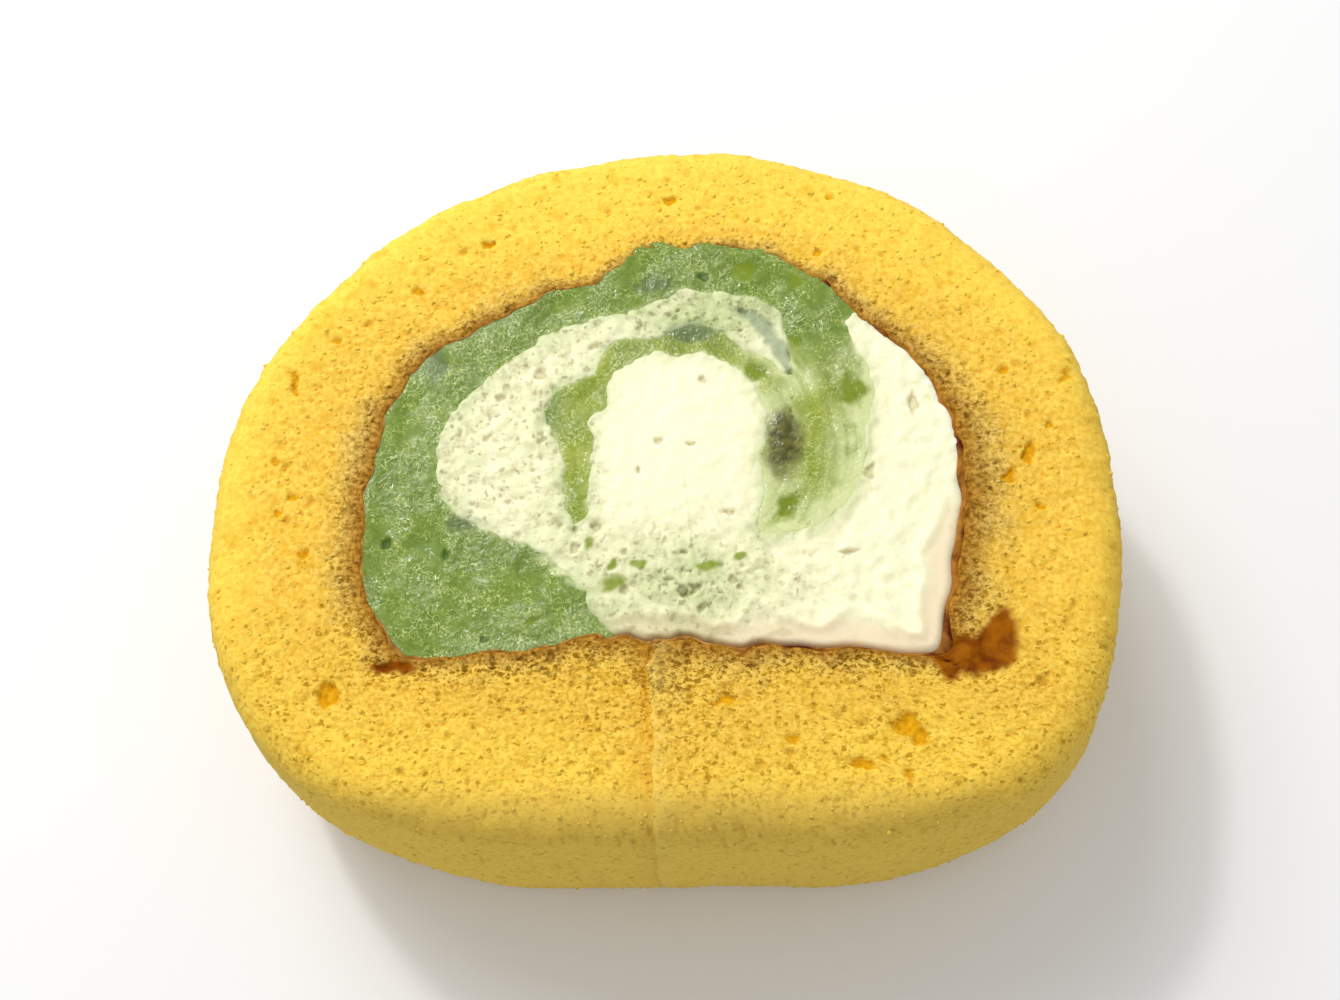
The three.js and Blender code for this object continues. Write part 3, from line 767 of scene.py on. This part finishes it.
# The clean middle stands up a little, and the roll drops farthest at the lower side.
dome = 0.4 * hump(swirl_reach, 6.5)
roll_drop = 0.4 + 0.9 * hump(degrees_from(swirl_angle, -80), 32)
cream_height = CREAM_LEVEL + dome + knife_marks * (1 - uncut) - roll_drop * rolled + fold
cream_height -= (bubbles * bubble_share + 0.4 * cups) * (1 - uncut)

# %% Height of the sauce
SAUCE_LEVEL = THICKNESS - 0.25
rippled = smoothstep(noise_over(3.2, 144) + 0.3 * noise_over(1.2, 145), -0.35, 0.3) * (1 - 0.6 * right_ring)
sauce_height = SAUCE_LEVEL + 0.25 * noise_over(4.0, 141) + 0.1 * noise_over(1.6, 142)
sauce_height += rippled * (0.1 * noise_over(0.62, 143) + 0.06 * noise_over(0.4, 146))
sauce_height += 0.04 * streaks * right_ring - 0.15 * chips - 0.2 * gel - 0.3 * drops + 0.1 * lump
sauce_height -= 0.35 * pits_at(torn_lattice, 2.6, (0.2, 0.5), 0.3, 151).reshape(lattice_x.shape)

# It is level with the cream in the ring, drawn up to the skin at the edge, and heaped over it at the back.
border_level = CREAM_LEVEL + dome - 0.08
sauce_height += ring * hump(in_cream, 1.4) * (border_level - sauce_height)
skin_level = top_height(lattice_x, lattice_y) - 0.12
sauce_height += hump(np.maximum(from_wall, 0), 1.2) * (skin_level - sauce_height)
spilled = hump(degrees_from(swirl_angle, 82), 26) * (1 + 0.8 * noise_over(1.1, 152))
sauce_height += 0.22 * spilled * hump(from_wall, 1.0)
print("mean height of cream and sauce:", round(cream_height.mean(), 2), round(sauce_height.mean(), 2))


# %% A food as a closed mesh
LOW_RISE = 0.7  # mm that the lower face rises at a food's border, on a slope of 2
LEAST_SLOPE = 0.5  # of the field "inside", so that no point is moved far where it is nearly level


def food_mesh(name, inside, height, attributes):
    """Closed solid over the part of the lattice where inside is above 0, flat on the lower cut.

    Cells with a corner inside are kept. Their outside corners are moved onto the border along the slope
    of inside, so the border comes out smooth. Towards the border the upper face follows the given height
    and the lower face rises, and walls join the two.
    """
    keep = inside > 0
    cells = keep[:-1, :-1] | keep[1:, :-1] | keep[:-1, 1:] | keep[1:, 1:]
    slope_y, slope_x = np.gradient(inside, CELL)
    steep = np.maximum(slope_x**2 + slope_y**2, LEAST_SLOPE**2)
    back = np.where(keep, 0, np.clip(inside / steep, -1.5 * CELL, 0))
    x, y = lattice_x - back * slope_x, lattice_y - back * slope_y

    used = np.zeros(lattice_x.shape, dtype=bool)
    for rows_part, columns_part in ((slice(0, -1), slice(0, -1)), (slice(1, None), slice(0, -1)),
                                    (slice(0, -1), slice(1, None)), (slice(1, None), slice(1, None))):
        used[rows_part, columns_part] |= cells
    index = np.full(lattice_x.shape, -1)
    count = used.sum()
    index[used] = np.arange(count)
    low = np.maximum(0, LOW_RISE - 2 * inside)
    top_points = np.stack([x[used], y[used], height[used]], axis=1)
    low_points = np.stack([x[used], y[used], low[used]], axis=1)

    a, b = index[:-1, :-1][cells], index[:-1, 1:][cells]
    c, d = index[1:, 1:][cells], index[1:, :-1][cells]
    faces = [np.stack([a, b, c, d], 1), np.stack([d, c, b, a], 1) + count]
    padded = np.pad(cells, 1)
    corners = {(-1, 0): (index[:-1, :-1], index[:-1, 1:]), (1, 0): (index[1:, 1:], index[1:, :-1]),
               (0, -1): (index[1:, :-1], index[:-1, :-1]), (0, 1): (index[:-1, 1:], index[1:, 1:])}
    for (step_y, step_x), (start, end) in corners.items():
        beyond = padded[1 + step_y:padded.shape[0] - 1 + step_y, 1 + step_x:padded.shape[1] - 1 + step_x]
        edge = cells & ~beyond
        p, q = start[edge], end[edge]
        faces.append(np.stack([p, p + count, q + count, q], 1))
    points = np.concatenate([top_points, low_points])
    values = {key: np.tile(field[used], 2) for key, field in attributes.items()}
    return make_object(name, points, np.concatenate(faces).tolist(), values)


# %% [markdown]
# Light that enters one food would come out of the other where they overlap, and draw a dark line along
# the border. The field called inner is 0 at a border and 1 from 1.6 mm on, and the materials let less
# light in where it is low.

# %% Make the cream and the sauce
DIVE = 1.0  # mm down for each mm past a border
BORDER_OVERLAP = 0.9  # mm that each food reaches under the other
dive_cream = DIVE * np.maximum(0, -in_cream)
dive_sauce = DIVE * np.maximum(0, in_cream)
bubble_shade = np.maximum(smoothstep(bubbles * bubble_share, 0.03, 0.22), 0.8 * cups)
away_from_border = smoothstep(np.abs(in_cream), 0, 1.6)
is_touching = 0.25 - shrunk + 0.4 * spilled  # how far the filling presses into the skin or spills over it
cream = food_mesh(
    "cream_swirl",
    np.minimum(in_cream + BORDER_OVERLAP, from_wall + is_touching),
    cream_height - dive_cream,
    {"sauce_in_it": in_the_cream, "froth": froth, "burst_bubble_shade": bubble_shade, "uncut": uncut, "chip": chips,
     "gel": gel, "inner": away_from_border},
)
sauce = food_mesh(
    "sauce_swirl",
    np.minimum(BORDER_OVERLAP - in_cream, from_wall + is_touching),
    sauce_height - dive_sauce,
    {"cream_in_it": in_the_sauce, "chip": chips, "gel": gel, "drop": drops, "lump": lump, "ring": ring,
     "rippled": rippled, "inner": away_from_border},
)

# %% [markdown]
# ## Colours and the node helper
#
# A colour is read off as an sRGB hex value, the way a picture editor shows it, while Cycles reckons in
# linear light. One function turns the one into the other. One small function adds a shader node with
# its settings and links, so that each material below reads as a list of what it does. Colour is laid on
# in coats: each coat has a share from 0 to 1, and covers the one before it by that much.

# %% Helpers for the materials
MIX_A, MIX_B = 6, 7  # numbers of the two colour inputs of a Mix node
BLEND = dict(output=2, data_type="RGBA")  # makes a Mix node blend colours, and picks its colour output
EASED = dict(interpolation_type="SMOOTHSTEP")  # makes a Map Range node start and end gently


def linear(hex_colour):
    """Linear RGBA from an sRGB hex value: c / 12.92 below 0.04045, else ((c + 0.055) / 1.055)^2.4."""
    c = np.array([int(hex_colour[i:i + 2], 16) for i in (1, 3, 5)]) / 255
    light = np.where(c < 0.04045, c / 12.92, ((c + 0.055) / 1.055) ** 2.4)
    return (*light.tolist(), 1.0)


def fill(tree, node, inputs):
    """Sets or links a node's inputs, each by its name or number. A text is a colour as a hex value."""
    for key, value in dict(inputs).items():
        if isinstance(value, bpy.types.NodeSocket):
            tree.links.new(value, node.inputs[key])
        else:
            node.inputs[key].default_value = linear(value) if isinstance(value, str) else value


def add(tree, kind, inputs=(), output=0, **settings):
    """Adds a shader node with its settings and inputs, and gives back one of its output sockets."""
    made = tree.nodes.new("ShaderNode" + kind)
    for key, value in settings.items():
        setattr(made, key, value)
    fill(tree, made, inputs)
    return made.outputs[output]


def start_material(name, fields=()):
    """A new material, its node tree, its Principled shader, and a socket for each named mesh field."""
    material = bpy.data.materials.new(name)
    material.use_nodes = True
    tree = material.node_tree
    field = {key: add(tree, "Attribute", output="Fac", attribute_name=key) for key in fields}
    return material, tree, tree.nodes["Principled BSDF"], field


# %% [markdown]
# ## Sponge crumb
#
# Baked foam of egg, sugar and flour. It scatters light inside, has no gloss, and its pores look
# deep golden because light bounces about in them before it comes out, so their shade and that bounced
# light are painted into its colour. Towards the skin the crumb was baked harder and is tan, with more and
# darker pores.

# %% Sponge material: where it is tan and how its foam looks
PORE_CELL = 0.64  # mm from pore to pore

SPONGE_MATERIAL, tree, shader, field = start_material(
    "baked_sponge_crumb", ("from_skin", "coarse", "side", "pore", "hole", "seam", "folded", "crease"))
place = add(tree, "TexCoord", output="Object")
skin_away, coarse_part = field["from_skin"], field["coarse"]

# How near the skin a place is, with a ragged edge to the zone that was baked harder.
broad = add(tree, "TexNoise", {"Vector": place, "Scale": 1 / (5 * MM), "Detail": 4.0})
ragged_edge = add(tree, "MapRange", {"Value": broad, "To Min": -3.0, "To Max": 3.0})
toward = add(tree, "Math", {0: skin_away, 1: ragged_edge}, operation="ADD")
tan_share = add(tree, "MapRange", {"Value": toward, "From Min": 4.5, "From Max": 0.0}, **EASED)
outer_share = add(tree, "MapRange", {"Value": toward, "From Min": 5.0, "From Max": 13.0}, **EASED)

# The foam of the crumb, half a millimetre apart: its walls are painted lighter and its hollows deeper,
# partly as painted light and shade of the fine relief.
foam = add(tree, "TexNoise", {"Vector": place, "Scale": 1 / (0.5 * MM), "Detail": 3.0, "Roughness": 0.6})
foam_share = add(tree, "MapRange", {"Value": foam, "From Min": 0.36, "From Max": 0.6})
light = add(tree, "Mix", {0: outer_share, MIX_A: "#f8d05a", MIX_B: "#fbd85a"}, **BLEND)
light = add(tree, "Mix", {0: tan_share, MIX_A: light, MIX_B: "#e6c878"}, **BLEND)
deep = add(tree, "Mix", {0: outer_share, MIX_A: "#e2b03a", MIX_B: "#f4c948"}, **BLEND)
deep = add(tree, "Mix", {0: tan_share, MIX_A: deep, MIX_B: "#a37d2c"}, **BLEND)
rich = add(tree, "TexNoise", {"Vector": place, "Scale": 1 / (1.7 * MM), "Detail": 3.0})
rich_share = add(tree, "MapRange", {"Value": rich, "From Min": 0.55, "From Max": 0.72, "To Max": 0.5})
deeper = add(tree, "Math", {0: coarse_part, 1: 0.4}, operation="MULTIPLY")

# Torn walls between the pores leave ragged specks, most of all where the crumb is coarse.
torn = add(tree, "VectorMath", {0: place, 1: (0.8, 1.15, 1.0)}, operation="MULTIPLY")
torn = add(tree, "TexNoise", {"Vector": torn, "Scale": 1 / (0.4 * MM), "Detail": 3.0, "Roughness": 0.7})
torn = add(tree, "MapRange", {"Value": torn, "From Min": 0.48, "From Max": 0.6}, **EASED)
torn = add(tree, "Math", {0: torn, 1: coarse_part}, operation="MULTIPLY")
torn_colour = add(tree, "Mix", {0: coarse_part, MIX_A: "#e0ae26", MIX_B: "#b4820c"}, **BLEND)
torn_colour = add(tree, "Mix", {0: tan_share, MIX_A: torn_colour, MIX_B: "#80580e"}, **BLEND)

# %% Sponge material: its fine pores
# One pore in each cell, of a random size, bent out of round and longer than deep. Each is painted darker
# and more golden, as painted shade and bounced light, and so are the pores sunk into the mesh. Where the
# crumb is coarse they are wider and browner.
warp = add(tree, "TexNoise", {"Vector": place, "Scale": 1 / (0.5 * MM), "Detail": 3.0}, "Color")
push = add(tree, "VectorMath", {0: warp, "Scale": 0.9 * MM}, operation="SCALE")
bent = add(tree, "VectorMath", {0: place, 1: push}, operation="ADD")
bent = add(tree, "VectorMath", {0: bent, 1: (0.75, 1.2, 1.0)}, operation="MULTIPLY")
cell_away = add(tree, "TexVoronoi", {"Vector": bent, "Scale": 1 / (PORE_CELL * MM)}, "Distance")
pore_size = add(tree, "SeparateColor", {0: cell_away.node.outputs["Color"]})
limit = add(tree, "MapRange", {"Value": pore_size, "From Min": 0.15, "To Min": 0.0, "To Max": 0.42})
wider = add(tree, "MapRange", {"Value": coarse_part, "To Min": -0.16, "To Max": 0.1})
limit = add(tree, "Math", {0: limit, 1: wider}, operation="ADD")
depth_in = add(tree, "Math", {0: limit, 1: cell_away}, operation="SUBTRACT")
fine = add(tree, "MapRange", {"Value": depth_in, "From Min": -0.06, "From Max": 0.1}, **EASED)
sunk_pore = add(tree, "Math", {0: field["pore"], 1: 0.5}, operation="MULTIPLY")
painted_pore_shade = add(tree, "Math", {0: fine, 1: sunk_pore}, operation="MAXIMUM")
painted_pore_shade = add(tree, "Math", {0: painted_pore_shade, 1: 0.8}, operation="MULTIPLY")
pore_shade_colour = add(tree, "Mix", {0: coarse_part, MIX_A: "#d89c14", MIX_B: "#90690a"}, **BLEND)
pore_shade_colour = add(tree, "Mix", {0: tan_share, MIX_A: pore_shade_colour, MIX_B: "#5c3e06"}, **BLEND)
# Inside the air holes the crumb is painted golden, as painted shade and bounced light.
hole_shade_colour = add(tree, "Mix", {0: foam_share, MIX_A: "#cc900c", MIX_B: "#e4ac1a"}, **BLEND)

# %% Sponge material: browned, tinted and folded places
# The last millimetres before the skin are browned.
brown_share = add(tree, "MapRange", {"Value": skin_away, "From Min": 2.2, "From Max": 0.1, "To Max": 0.9})
brown = add(tree, "Mix", {0: foam_share, MIX_A: "#764408", MIX_B: "#b27a20"}, **BLEND)

# Left of the seam the strip is painted deeper and more orange, partly as painted shade beside its step,
# and right of it paler, as painted light on its raised lip. The outside is painted darker and dull, as
# painted shade.
painted_seam_shade = add(tree, "MapRange", {"Value": field["seam"], "From Max": -1.0, "To Max": 0.35})
painted_seam_light = add(tree, "MapRange", {"Value": field["seam"], "From Max": 1.0, "To Max": 0.3})
painted_side_shade = add(tree, "Math", {0: field["side"], 1: 0.65}, operation="MULTIPLY")

# Skin that was folded into the crumb is wet, dark caramel, and its creases are painted nearly black as
# shade.
mottle = add(tree, "TexNoise", {"Vector": place, "Scale": 1 / (1.5 * MM), "Detail": 4.0})
mottle = add(tree, "MapRange", {"Value": mottle, "From Min": 0.35, "From Max": 0.65})
caramel = add(tree, "Mix", {0: mottle, MIX_A: "#6e3000", MIX_B: "#a05c02"}, **BLEND)
gloss = add(tree, "MapRange", {"Value": field["folded"], "To Min": 0.92, "To Max": 0.6})

# %% Sponge material: its coats
colour = deep
for share, coat in (
    (foam_share, light),
    (rich_share, "#e3b02c"),
    (deeper, "#f2ca54"),
    (torn, torn_colour),
    # painted shade and bounced light in the pores and the air holes
    (painted_pore_shade, pore_shade_colour),
    (field["hole"], hole_shade_colour),
    (brown_share, brown),
    # painted shade left of the seam and painted light on the lip right of it
    (painted_seam_shade, "#d39a1e"),
    (painted_seam_light, "#f2d878"),
    # painted shade over the outside and the near soft edge
    (painted_side_shade, "#cbad50"),
    (field["folded"], caramel),
    # painted shade in the creases of the folds
    (field["crease"], "#4a1c02"),
):
    colour = add(tree, "Mix", {0: share, MIX_A: colour, MIX_B: coat}, **BLEND)

raised = add(tree, "Math", {0: foam, 1: fine}, operation="SUBTRACT")
fill(tree, shader, {
    "Base Color": colour,
    "Normal": add(tree, "Bump", {"Height": raised, "Strength": 0.4, "Distance": 0.2 * MM}),
    "Roughness": gloss,
    "Specular IOR Level": 0.05,
    "Subsurface Weight": 0.2,
    "Subsurface Radius": (1.0, 0.55, 0.12),
    "Subsurface Scale": 0.8 * MM,
})
print(SPONGE_MATERIAL.name, "has", len(tree.nodes), "nodes")

# %% [markdown]
# ## Baked skin
#
# The browned skin has soaked up moisture from the filling, so it is dark caramel with a low, uneven
# sheen.

# %% Skin material
SKIN_MATERIAL, tree, shader, field = start_material("moist_baked_skin", ["wet"])
place = add(tree, "TexCoord", output="Object")
mottle = add(tree, "TexNoise", {"Vector": place, "Scale": 1 / (1.3 * MM), "Detail": 4.0})
mottle = add(tree, "MapRange", {"Value": mottle, "From Min": 0.35, "From Max": 0.65})
soaked = add(tree, "Math", {0: field["wet"], 1: 0.55}, operation="MULTIPLY")
burnt = add(tree, "TexNoise", {"Vector": place, "Scale": 1 / (3 * MM), "Detail": 3.0})
burnt = add(tree, "MapRange", {"Value": burnt, "From Min": 0.46, "From Max": 0.62})
burnt = add(tree, "Math", {0: burnt, 1: field["wet"]}, operation="MULTIPLY")
rough = add(tree, "TexNoise", {"Vector": place, "Scale": 1 / (0.35 * MM), "Detail": 3.0})

colour = "#8a5a20"
for share, coat in ((mottle, "#bb8c42"), (soaked, "#a5650c"), (burnt, "#571c08")):
    colour = add(tree, "Mix", {0: share, MIX_A: colour, MIX_B: coat}, **BLEND)
fill(tree, shader, {
    "Base Color": colour,
    "Normal": add(tree, "Bump", {"Height": rough, "Strength": 0.6, "Distance": 0.15 * MM}),
    "Roughness": 0.6,
    "Specular IOR Level": 0.08,
    "Subsurface Weight": 0.15,
    "Subsurface Radius": (1.0, 0.4, 0.1),
    "Subsurface Scale": 0.8 * MM,
})
print(SKIN_MATERIAL.name, "has", len(tree.nodes), "nodes")

# %% [markdown]
# ## Whipped cream
#
# Cream is fat and air in milk: light goes in, scatters many times and comes out almost white, a little
# yellow. Subsurface scattering gives that softness. Where sauce is stirred in it turns pale green, and its
# burst bubbles and froth are painted darker, as painted shade in small wet cups.

# %% Cream material: froth and bubbles
CREAM_MATERIAL, tree, shader, field = start_material(
    "whipped_dairy_cream", ("sauce_in_it", "froth", "burst_bubble_shade", "uncut", "chip", "gel", "inner"))
place = add(tree, "TexCoord", output="Object")
# Soft smudges of painted shade over the froth, greener where sauce is in the cream.
froth_smudge_shade = add(tree, "TexNoise", {"Vector": place, "Scale": 1 / (0.9 * MM), "Detail": 4.0, "Roughness": 0.65})
froth_smudge_shade = add(tree, "MapRange", {"Value": froth_smudge_shade, "From Min": 0.48, "From Max": 0.66, "To Max": 0.6})
froth_smudge_shade = add(tree, "Math", {0: froth_smudge_shade, 1: field["froth"]}, operation="MULTIPLY")

# Ragged cups of the froth: one in each bent cell, of a random size.
warp = add(tree, "TexNoise", {"Vector": place, "Scale": 1 / (0.6 * MM), "Detail": 3.0}, "Color")
push = add(tree, "VectorMath", {0: warp, "Scale": 1.2 * MM}, operation="SCALE")
bent = add(tree, "VectorMath", {0: place, 1: push}, operation="ADD")
cell_away = add(tree, "TexVoronoi", {"Vector": bent, "Scale": 1 / (0.75 * MM)}, "Distance")
cup_size = add(tree, "SeparateColor", {0: cell_away.node.outputs["Color"]})
limit = add(tree, "MapRange", {"Value": cup_size, "From Min": 0.3, "To Min": 0.0, "To Max": 0.42})
depth_in = add(tree, "Math", {0: limit, 1: cell_away}, operation="SUBTRACT")
froth_cup = add(tree, "MapRange", {"Value": depth_in, "From Min": -0.12, "From Max": 0.15, "To Max": 0.85},
                **EASED)
froth_cup = add(tree, "Math", {0: froth_cup, 1: field["froth"]}, operation="MULTIPLY")
# The burst bubbles and the froth cups are painted darker: painted shade in the cups.
painted_cup_shade = add(tree, "Math", {0: field["burst_bubble_shade"], 1: 0.7}, operation="MULTIPLY")
painted_cup_shade = add(tree, "Math", {0: painted_cup_shade, 1: froth_cup}, operation="MAXIMUM")

# %% Cream material: its coats and its relief
# The painted shade in a cup is tan, and dark green where sauce is in it.
cup_shade_colour = add(tree, "Mix", {0: field["sauce_in_it"], MIX_A: "#cfbf90", MIX_B: "#5c763a"}, **BLEND)
jelly = add(tree, "Math", {0: field["gel"], 1: 0.75}, operation="MULTIPLY")
colour = "#fbf7d2"
for share, coat in (
    (field["uncut"], "#f4e3c0"),
    (field["sauce_in_it"], "#a8bc6e"),
    (froth_smudge_shade, cup_shade_colour),
    (painted_cup_shade, cup_shade_colour),
    (field["chip"], "#8f9f38"),
    (jelly, "#8f9f7c"),
):
    colour = add(tree, "Mix", {0: share, MIX_A: colour, MIX_B: coat}, **BLEND)

soft = add(tree, "TexNoise", {"Vector": place, "Scale": 1 / (0.6 * MM), "Detail": 3.0})
raised = add(tree, "Math", {0: soft, 1: froth_cup}, operation="SUBTRACT")
was_cut = add(tree, "Math", {0: 1.0, 1: field["uncut"]}, operation="SUBTRACT")
raised = add(tree, "Math", {0: raised, 1: was_cut}, operation="MULTIPLY")
fill(tree, shader, {
    "Base Color": colour,
    "Normal": add(tree, "Bump", {"Height": raised, "Strength": 0.5, "Distance": 0.2 * MM}),
    "Roughness": 0.5,
    "IOR": 1.35,
    "Subsurface Weight": add(tree, "MapRange", {"Value": field["inner"], "To Min": 0.08, "To Max": 0.6}),
    "Subsurface Radius": (1.0, 0.85, 0.6),
    "Subsurface Scale": 1.0 * MM,
})
print(CREAM_MATERIAL.name, "has", len(tree.nodes), "nodes")

# %% [markdown]
# ## Green fruit sauce
#
# A cooked fruit jelly: cloudy green, thick and wet. A clear wet film lies over it, so it gets a smooth
# coat, and its surface is broken into small bumps that each catch the lamp as a spark. More sparks are
# painted on as pale flecks.

# %% Sauce material: painted glints and pulp
SAUCE_MATERIAL, tree, shader, field = start_material(
    "wet_fruit_jelly", ("cream_in_it", "chip", "gel", "drop", "lump", "ring", "rippled", "inner"))
place = add(tree, "TexCoord", output="Object")
mottle = add(tree, "TexNoise", {"Vector": place, "Scale": 1 / (3.5 * MM), "Detail": 4.0})
mottle = add(tree, "MapRange", {"Value": mottle, "From Min": 0.3, "From Max": 0.7})
ring_colour = add(tree, "Mix", {0: mottle, MIX_A: "#748824", MIX_B: "#98a43e"}, **BLEND)

# Painted glints: pale flecks where a fine noise passes through its middle value, inside loose clusters.
glint_cluster = add(tree, "TexNoise", {"Vector": place, "Scale": 1 / (2.5 * MM), "Detail": 3.0})
glint_cluster = add(tree, "MapRange", {"Value": glint_cluster, "From Min": 0.36, "From Max": 0.56, "To Max": 0.66})
glint_line = add(tree, "TexNoise", {"Vector": place, "Scale": 1 / (0.5 * MM), "Detail": 1.0})
glint_line = add(tree, "Math", {0: glint_line, 1: 0.5}, operation="SUBTRACT")
glint_line = add(tree, "Math", {0: glint_line}, operation="ABSOLUTE")
glint_line = add(tree, "MapRange", {"Value": glint_line, "From Min": 0.04, "From Max": 0.005})
painted_glint_flecks = add(tree, "Math", {0: glint_line, 1: glint_cluster}, operation="MULTIPLY")
pulp = add(tree, "TexNoise", {"Vector": place, "Scale": 1 / (0.9 * MM), "Detail": 4.0, "Roughness": 0.65})
pulp = add(tree, "MapRange", {"Value": pulp, "From Min": 0.42, "From Max": 0.68, "To Max": 0.3})
lump_mottle = add(tree, "TexNoise", {"Vector": place, "Scale": 1 / (0.8 * MM), "Detail": 5.0})
lump_mottle = add(tree, "MapRange", {"Value": lump_mottle, "From Min": 0.3, "From Max": 0.75})
lump_colour = add(tree, "Mix", {0: lump_mottle, MIX_A: "#3c3f14", MIX_B: "#7c7a3a"}, **BLEND)

# %% Sauce material: its coats, its grain and its wet film
colour = "#66802e"
for share, coat in (
    (mottle, "#728a34"),
    (field["ring"], ring_colour),
    (field["cream_in_it"], "#d8dfa6"),
    # painted glints
    (painted_glint_flecks, "#e0e8a0"),
    (pulp, "#adbb62"),
    (field["gel"], "#6a7c45"),
    (field["chip"], "#7c8f26"),
    (field["drop"], "#4c6a22"),
    (field["lump"], lump_colour),
):
    colour = add(tree, "Mix", {0: share, MIX_A: colour, MIX_B: coat}, **BLEND)

grain = add(tree, "TexNoise", {"Vector": place, "Scale": 1 / (0.36 * MM), "Detail": 2.0})
grain_strength = add(tree, "MapRange", {"Value": field["rippled"], "To Min": 0.1, "To Max": 0.9})
bump = add(tree, "Bump", {"Height": grain, "Strength": grain_strength, "Distance": 0.2 * MM})
fill(tree, shader, {
    "Base Color": colour,
    "Normal": bump,
    "Roughness": 0.48,
    "Specular IOR Level": 0.12,
    "IOR": 1.38,
    "Coat Weight": add(tree, "MapRange", {"Value": field["rippled"], "To Min": 0.08, "To Max": 0.7}),
    "Coat Roughness": 0.05,
    "Coat Normal": bump,
    "Subsurface Weight": add(tree, "MapRange", {"Value": field["inner"], "To Min": 0.05, "To Max": 0.35}),
    "Subsurface Radius": (0.9, 1.0, 0.4),
    "Subsurface Scale": 1.5 * MM,
})
print(SAUCE_MATERIAL.name, "has", len(tree.nodes), "nodes")

# %% Dress the pieces and let them ride
for piece, material, slot, node in (
    (sponge, SPONGE_MATERIAL, "sponge", "sponge"),
    (crumbs, SPONGE_MATERIAL, "sponge", "sponge"),
    (skin, SKIN_MATERIAL, "sponge", "sponge"),
    (cream, CREAM_MATERIAL, "cream", "whipped_cream"),
    (sauce, SAUCE_MATERIAL, "sauce", "green_sauce"),
):
    piece.data.materials.append(material)
    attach(piece, "root")
    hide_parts(node)
    print(piece.name, "wears", material.name)

# %% [markdown]
# ## Camera, floor and light
#
# The slice was photographed from above and a little in front, close enough that the near side of the
# cut looks larger. The camera stands where the picture's perspective says, and it is rolled so that the
# slice's depth runs straight up the frame.

# %% Camera
FRAME_PIXELS = 1340
FOCAL_PIXELS = 1670
CAMERA_PLACE = np.array([8.2, -61.3, THICKNESS + 154.7]) * MM
ELEVATION, AZIMUTH = np.radians(69.5), np.radians(7.0)

level = np.array([np.sin(AZIMUTH), -np.cos(AZIMUTH), 0.0])
back = level * np.cos(ELEVATION) + np.array([0.0, 0.0, np.sin(ELEVATION)])
up = np.array([0.0, 1.0, 0.0]) - back * back[1]
up /= np.linalg.norm(up)
right = np.cross(up, back)
camera = bpy.data.objects.new("camera", bpy.data.cameras.new("camera"))
camera.data.sensor_width = 36.0
camera.data.lens = camera.data.sensor_width * FOCAL_PIXELS / FRAME_PIXELS
camera.data.clip_start = 0.01
camera_pose = np.eye(4)
camera_pose[:3, :3] = np.stack([right, up, back], axis=1)
camera_pose[:3, 3] = CAMERA_PLACE
camera.matrix_world = Matrix(camera_pose.tolist())
bpy.context.scene.collection.objects.link(camera)
bpy.context.scene.camera = camera
print("lens:", round(camera.data.lens, 1), "mm")

# %% Floor
FLOOR_HALF = 2.0  # metres
floor_corners = [(x * FLOOR_HALF, y * FLOOR_HALF, 0) for x, y in ((-1, -1), (1, -1), (1, 1), (-1, 1))]
floor_mesh = bpy.data.meshes.new("floor")
floor_mesh.from_pydata(floor_corners, [], [(0, 1, 2, 3)])
floor = bpy.data.objects.new("floor", floor_mesh)
bpy.context.scene.collection.objects.link(floor)
paper, tree, shader, _ = start_material("pale_paper_floor")
fill(tree, shader, {"Base Color": "#f2f2f2", "Roughness": 0.9})
floor_mesh.materials.append(paper)
print("floor:", 2 * FLOOR_HALF, "m wide")

# %% [markdown]
# The light is a bright, even studio: a white surround does most of it, a large soft lamp at the back
# left models the relief, and a small one gives the wet sauce its sparks.


# %% Light
def soft_lamp(name, place, size, power):
    """A square area lamp that faces the slice's middle: place and size in metres, power in watts."""
    lamp = bpy.data.objects.new(name, bpy.data.lights.new(name, "AREA"))
    lamp.data.shape = "SQUARE"
    lamp.data.size = size
    lamp.data.energy = power
    away = np.array(place) - np.array([0, 0, THICKNESS * MM])
    away /= np.linalg.norm(away)
    across = np.cross([0.0, 1.0, 0.0], away)
    across /= np.linalg.norm(across)
    pose = np.eye(4)
    pose[:3, :3] = np.stack([across, np.cross(away, across), away], axis=1)
    pose[:3, 3] = place
    lamp.matrix_world = Matrix(pose.tolist())
    bpy.context.scene.collection.objects.link(lamp)
    return lamp


world = bpy.data.worlds.new("white_studio")
world.use_nodes = True
fill(world.node_tree, world.node_tree.nodes["Background"], {"Color": "#ffffff", "Strength": 0.6})
bpy.context.scene.world = world
key = soft_lamp("key", (-0.17, 0.25, 0.42), 0.25, 1.15)
spark = soft_lamp("spark", (-0.2, 0.27, 0.5), 0.05, 0.85)
print("lamps in W:", {lamp.name: round(lamp.data.energy, 2) for lamp in (key, spark)})
bpy.context.scene.view_settings.view_transform = "Standard"
